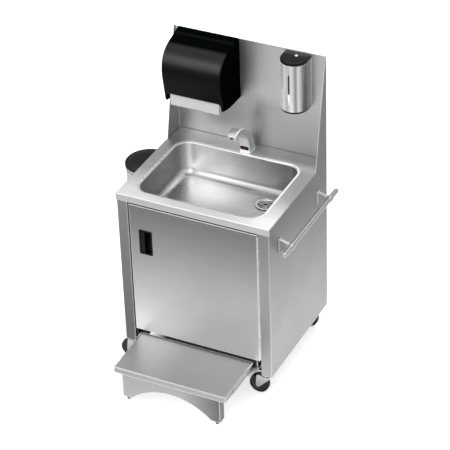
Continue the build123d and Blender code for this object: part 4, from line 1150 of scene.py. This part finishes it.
def studio():
    """Pale floor, soft surroundings and one large soft lamp."""
    far = 14.0
    mesh = bpy.data.meshes.new("studio_floor")
    corners = [(-far, -far, 0), (far, -far, 0), (far, far, 0), (-far, far, 0)]
    mesh.from_pydata(corners, [], [(0, 1, 2, 3)])
    placed("studio_floor", mesh)

    r = Recipe("studio_floor")
    rays = r.node("LightPath").outputs["Is Camera Ray"]
    away = r.math("DISTANCE", r.place, MIDDLE, "VectorMath")
    aside, behind, _ = r.from_middle()
    # painted shade: the floor's glow falls almost to nothing under the cabinet
    open_floor = r.largest(
        r.ramp(r.math("ABSOLUTE", aside), 0.03, 1.0, 0.28, 0.42),
        r.ramp(r.math("ABSOLUTE", behind), 0.03, 1.0, 0.24, 0.40),
    )
    falling = r.ramp(away, FLOOR_NEAR, FLOOR_FAR, 0.55, 1.45)
    glow = r.node("Emission", Color=r.shade(r.times(falling, open_floor)))
    # soft dark contact shadow under the cabinet
    under = r.times(r.ramp(aside, 1, 0, 0.19, 0.28), r.ramp(aside, 0, 1, -0.35, -0.26),
                    r.ramp(behind, 0, 1, -0.20, -0.11), r.ramp(behind, 1, 0, 0.11, 0.20), SHADOW)
    lit = r.math("SUBTRACT", 1.0, under)
    seen = r.node("Emission", Color=grey(1.0), Strength=r.times(lit, FLOOR_GLOW))
    r.set(Base_Color=r.shade(r.times(lit, FLOOR_TONE)), Roughness=0.9, Specular_IOR_Level=0.0)
    plain = r.joined("AddShader", seen.outputs[0], r.shader.outputs[0])
    choice = r.joined("MixShader", glow.outputs[0], plain, Fac=rays)
    r.feed(r.tree.nodes["Material Output"].inputs["Surface"], choice)
    mesh.materials.append(r.material)

    # surroundings: dim, with soft cards in front, high behind, high in front and at both sides
    world = bpy.data.worlds.new("studio")
    scene.world = world
    world.use_nodes = True
    g = Graph(world.node_tree)
    x, y, z = g.split(g.node("TexCoord").outputs["Generated"])
    light = AMBIENT
    for level, limits in CARDS:
        card = level
        for value, (start, full) in zip((x, y, z, x, y, z), limits):
            if start is not None:
                card = g.times(card, g.ramp(value, 0.0, 1.0, start, full))
        light = g.math("ADD", light, card)
    rays = g.node("LightPath").outputs["Is Camera Ray"]
    backdrop = g.mix(rays, g.shade(light), grey(1.0))
    g.feed(g.tree.nodes["Background"].inputs["Color"], backdrop)

    data = bpy.data.lights.new("key", "AREA")
    data.shape = "RECTANGLE"
    data.size = data.size_y = LAMP_SIZE
    data.energy = LAMP_WATTS
    lamp = placed("key", data)
    lamp.location = MIDDLE + Vector((0, 0, 0.8)) + LAMP_PLACE
    lamp.rotation_euler = (-LAMP_PLACE).to_track_quat("-Z", "Y").to_euler()
    lamp.visible_glossy = False


def camera():
    """Camera at the height, distance and turn of a catalogue view."""
    azimuth, elevation, roll = (math.radians(a) for a in (27.14, 33.84, -2.07))
    distance = 8.733
    target = Vector((CABINET_X + 4 * MM, CABINET_Y, DECK_Z - 243.4 * MM))
    level = math.cos(elevation)
    away = Vector((math.sin(azimuth) * level, -math.cos(azimuth) * level, math.sin(elevation)))
    right = Vector((math.cos(azimuth), math.sin(azimuth), 0))
    basis = Matrix((right, away.cross(right), away)).transposed().to_4x4()
    data = bpy.data.cameras.new("camera")
    data.lens = 167.3
    data.clip_end = 60
    made = placed("camera", data)
    turn = Matrix.Rotation(roll, 4, "Z")
    made.matrix_world = Matrix.Translation(target + away * distance) @ basis @ turn
    scene.camera = made


studio()
camera()
scene.view_settings.view_transform = "Standard"
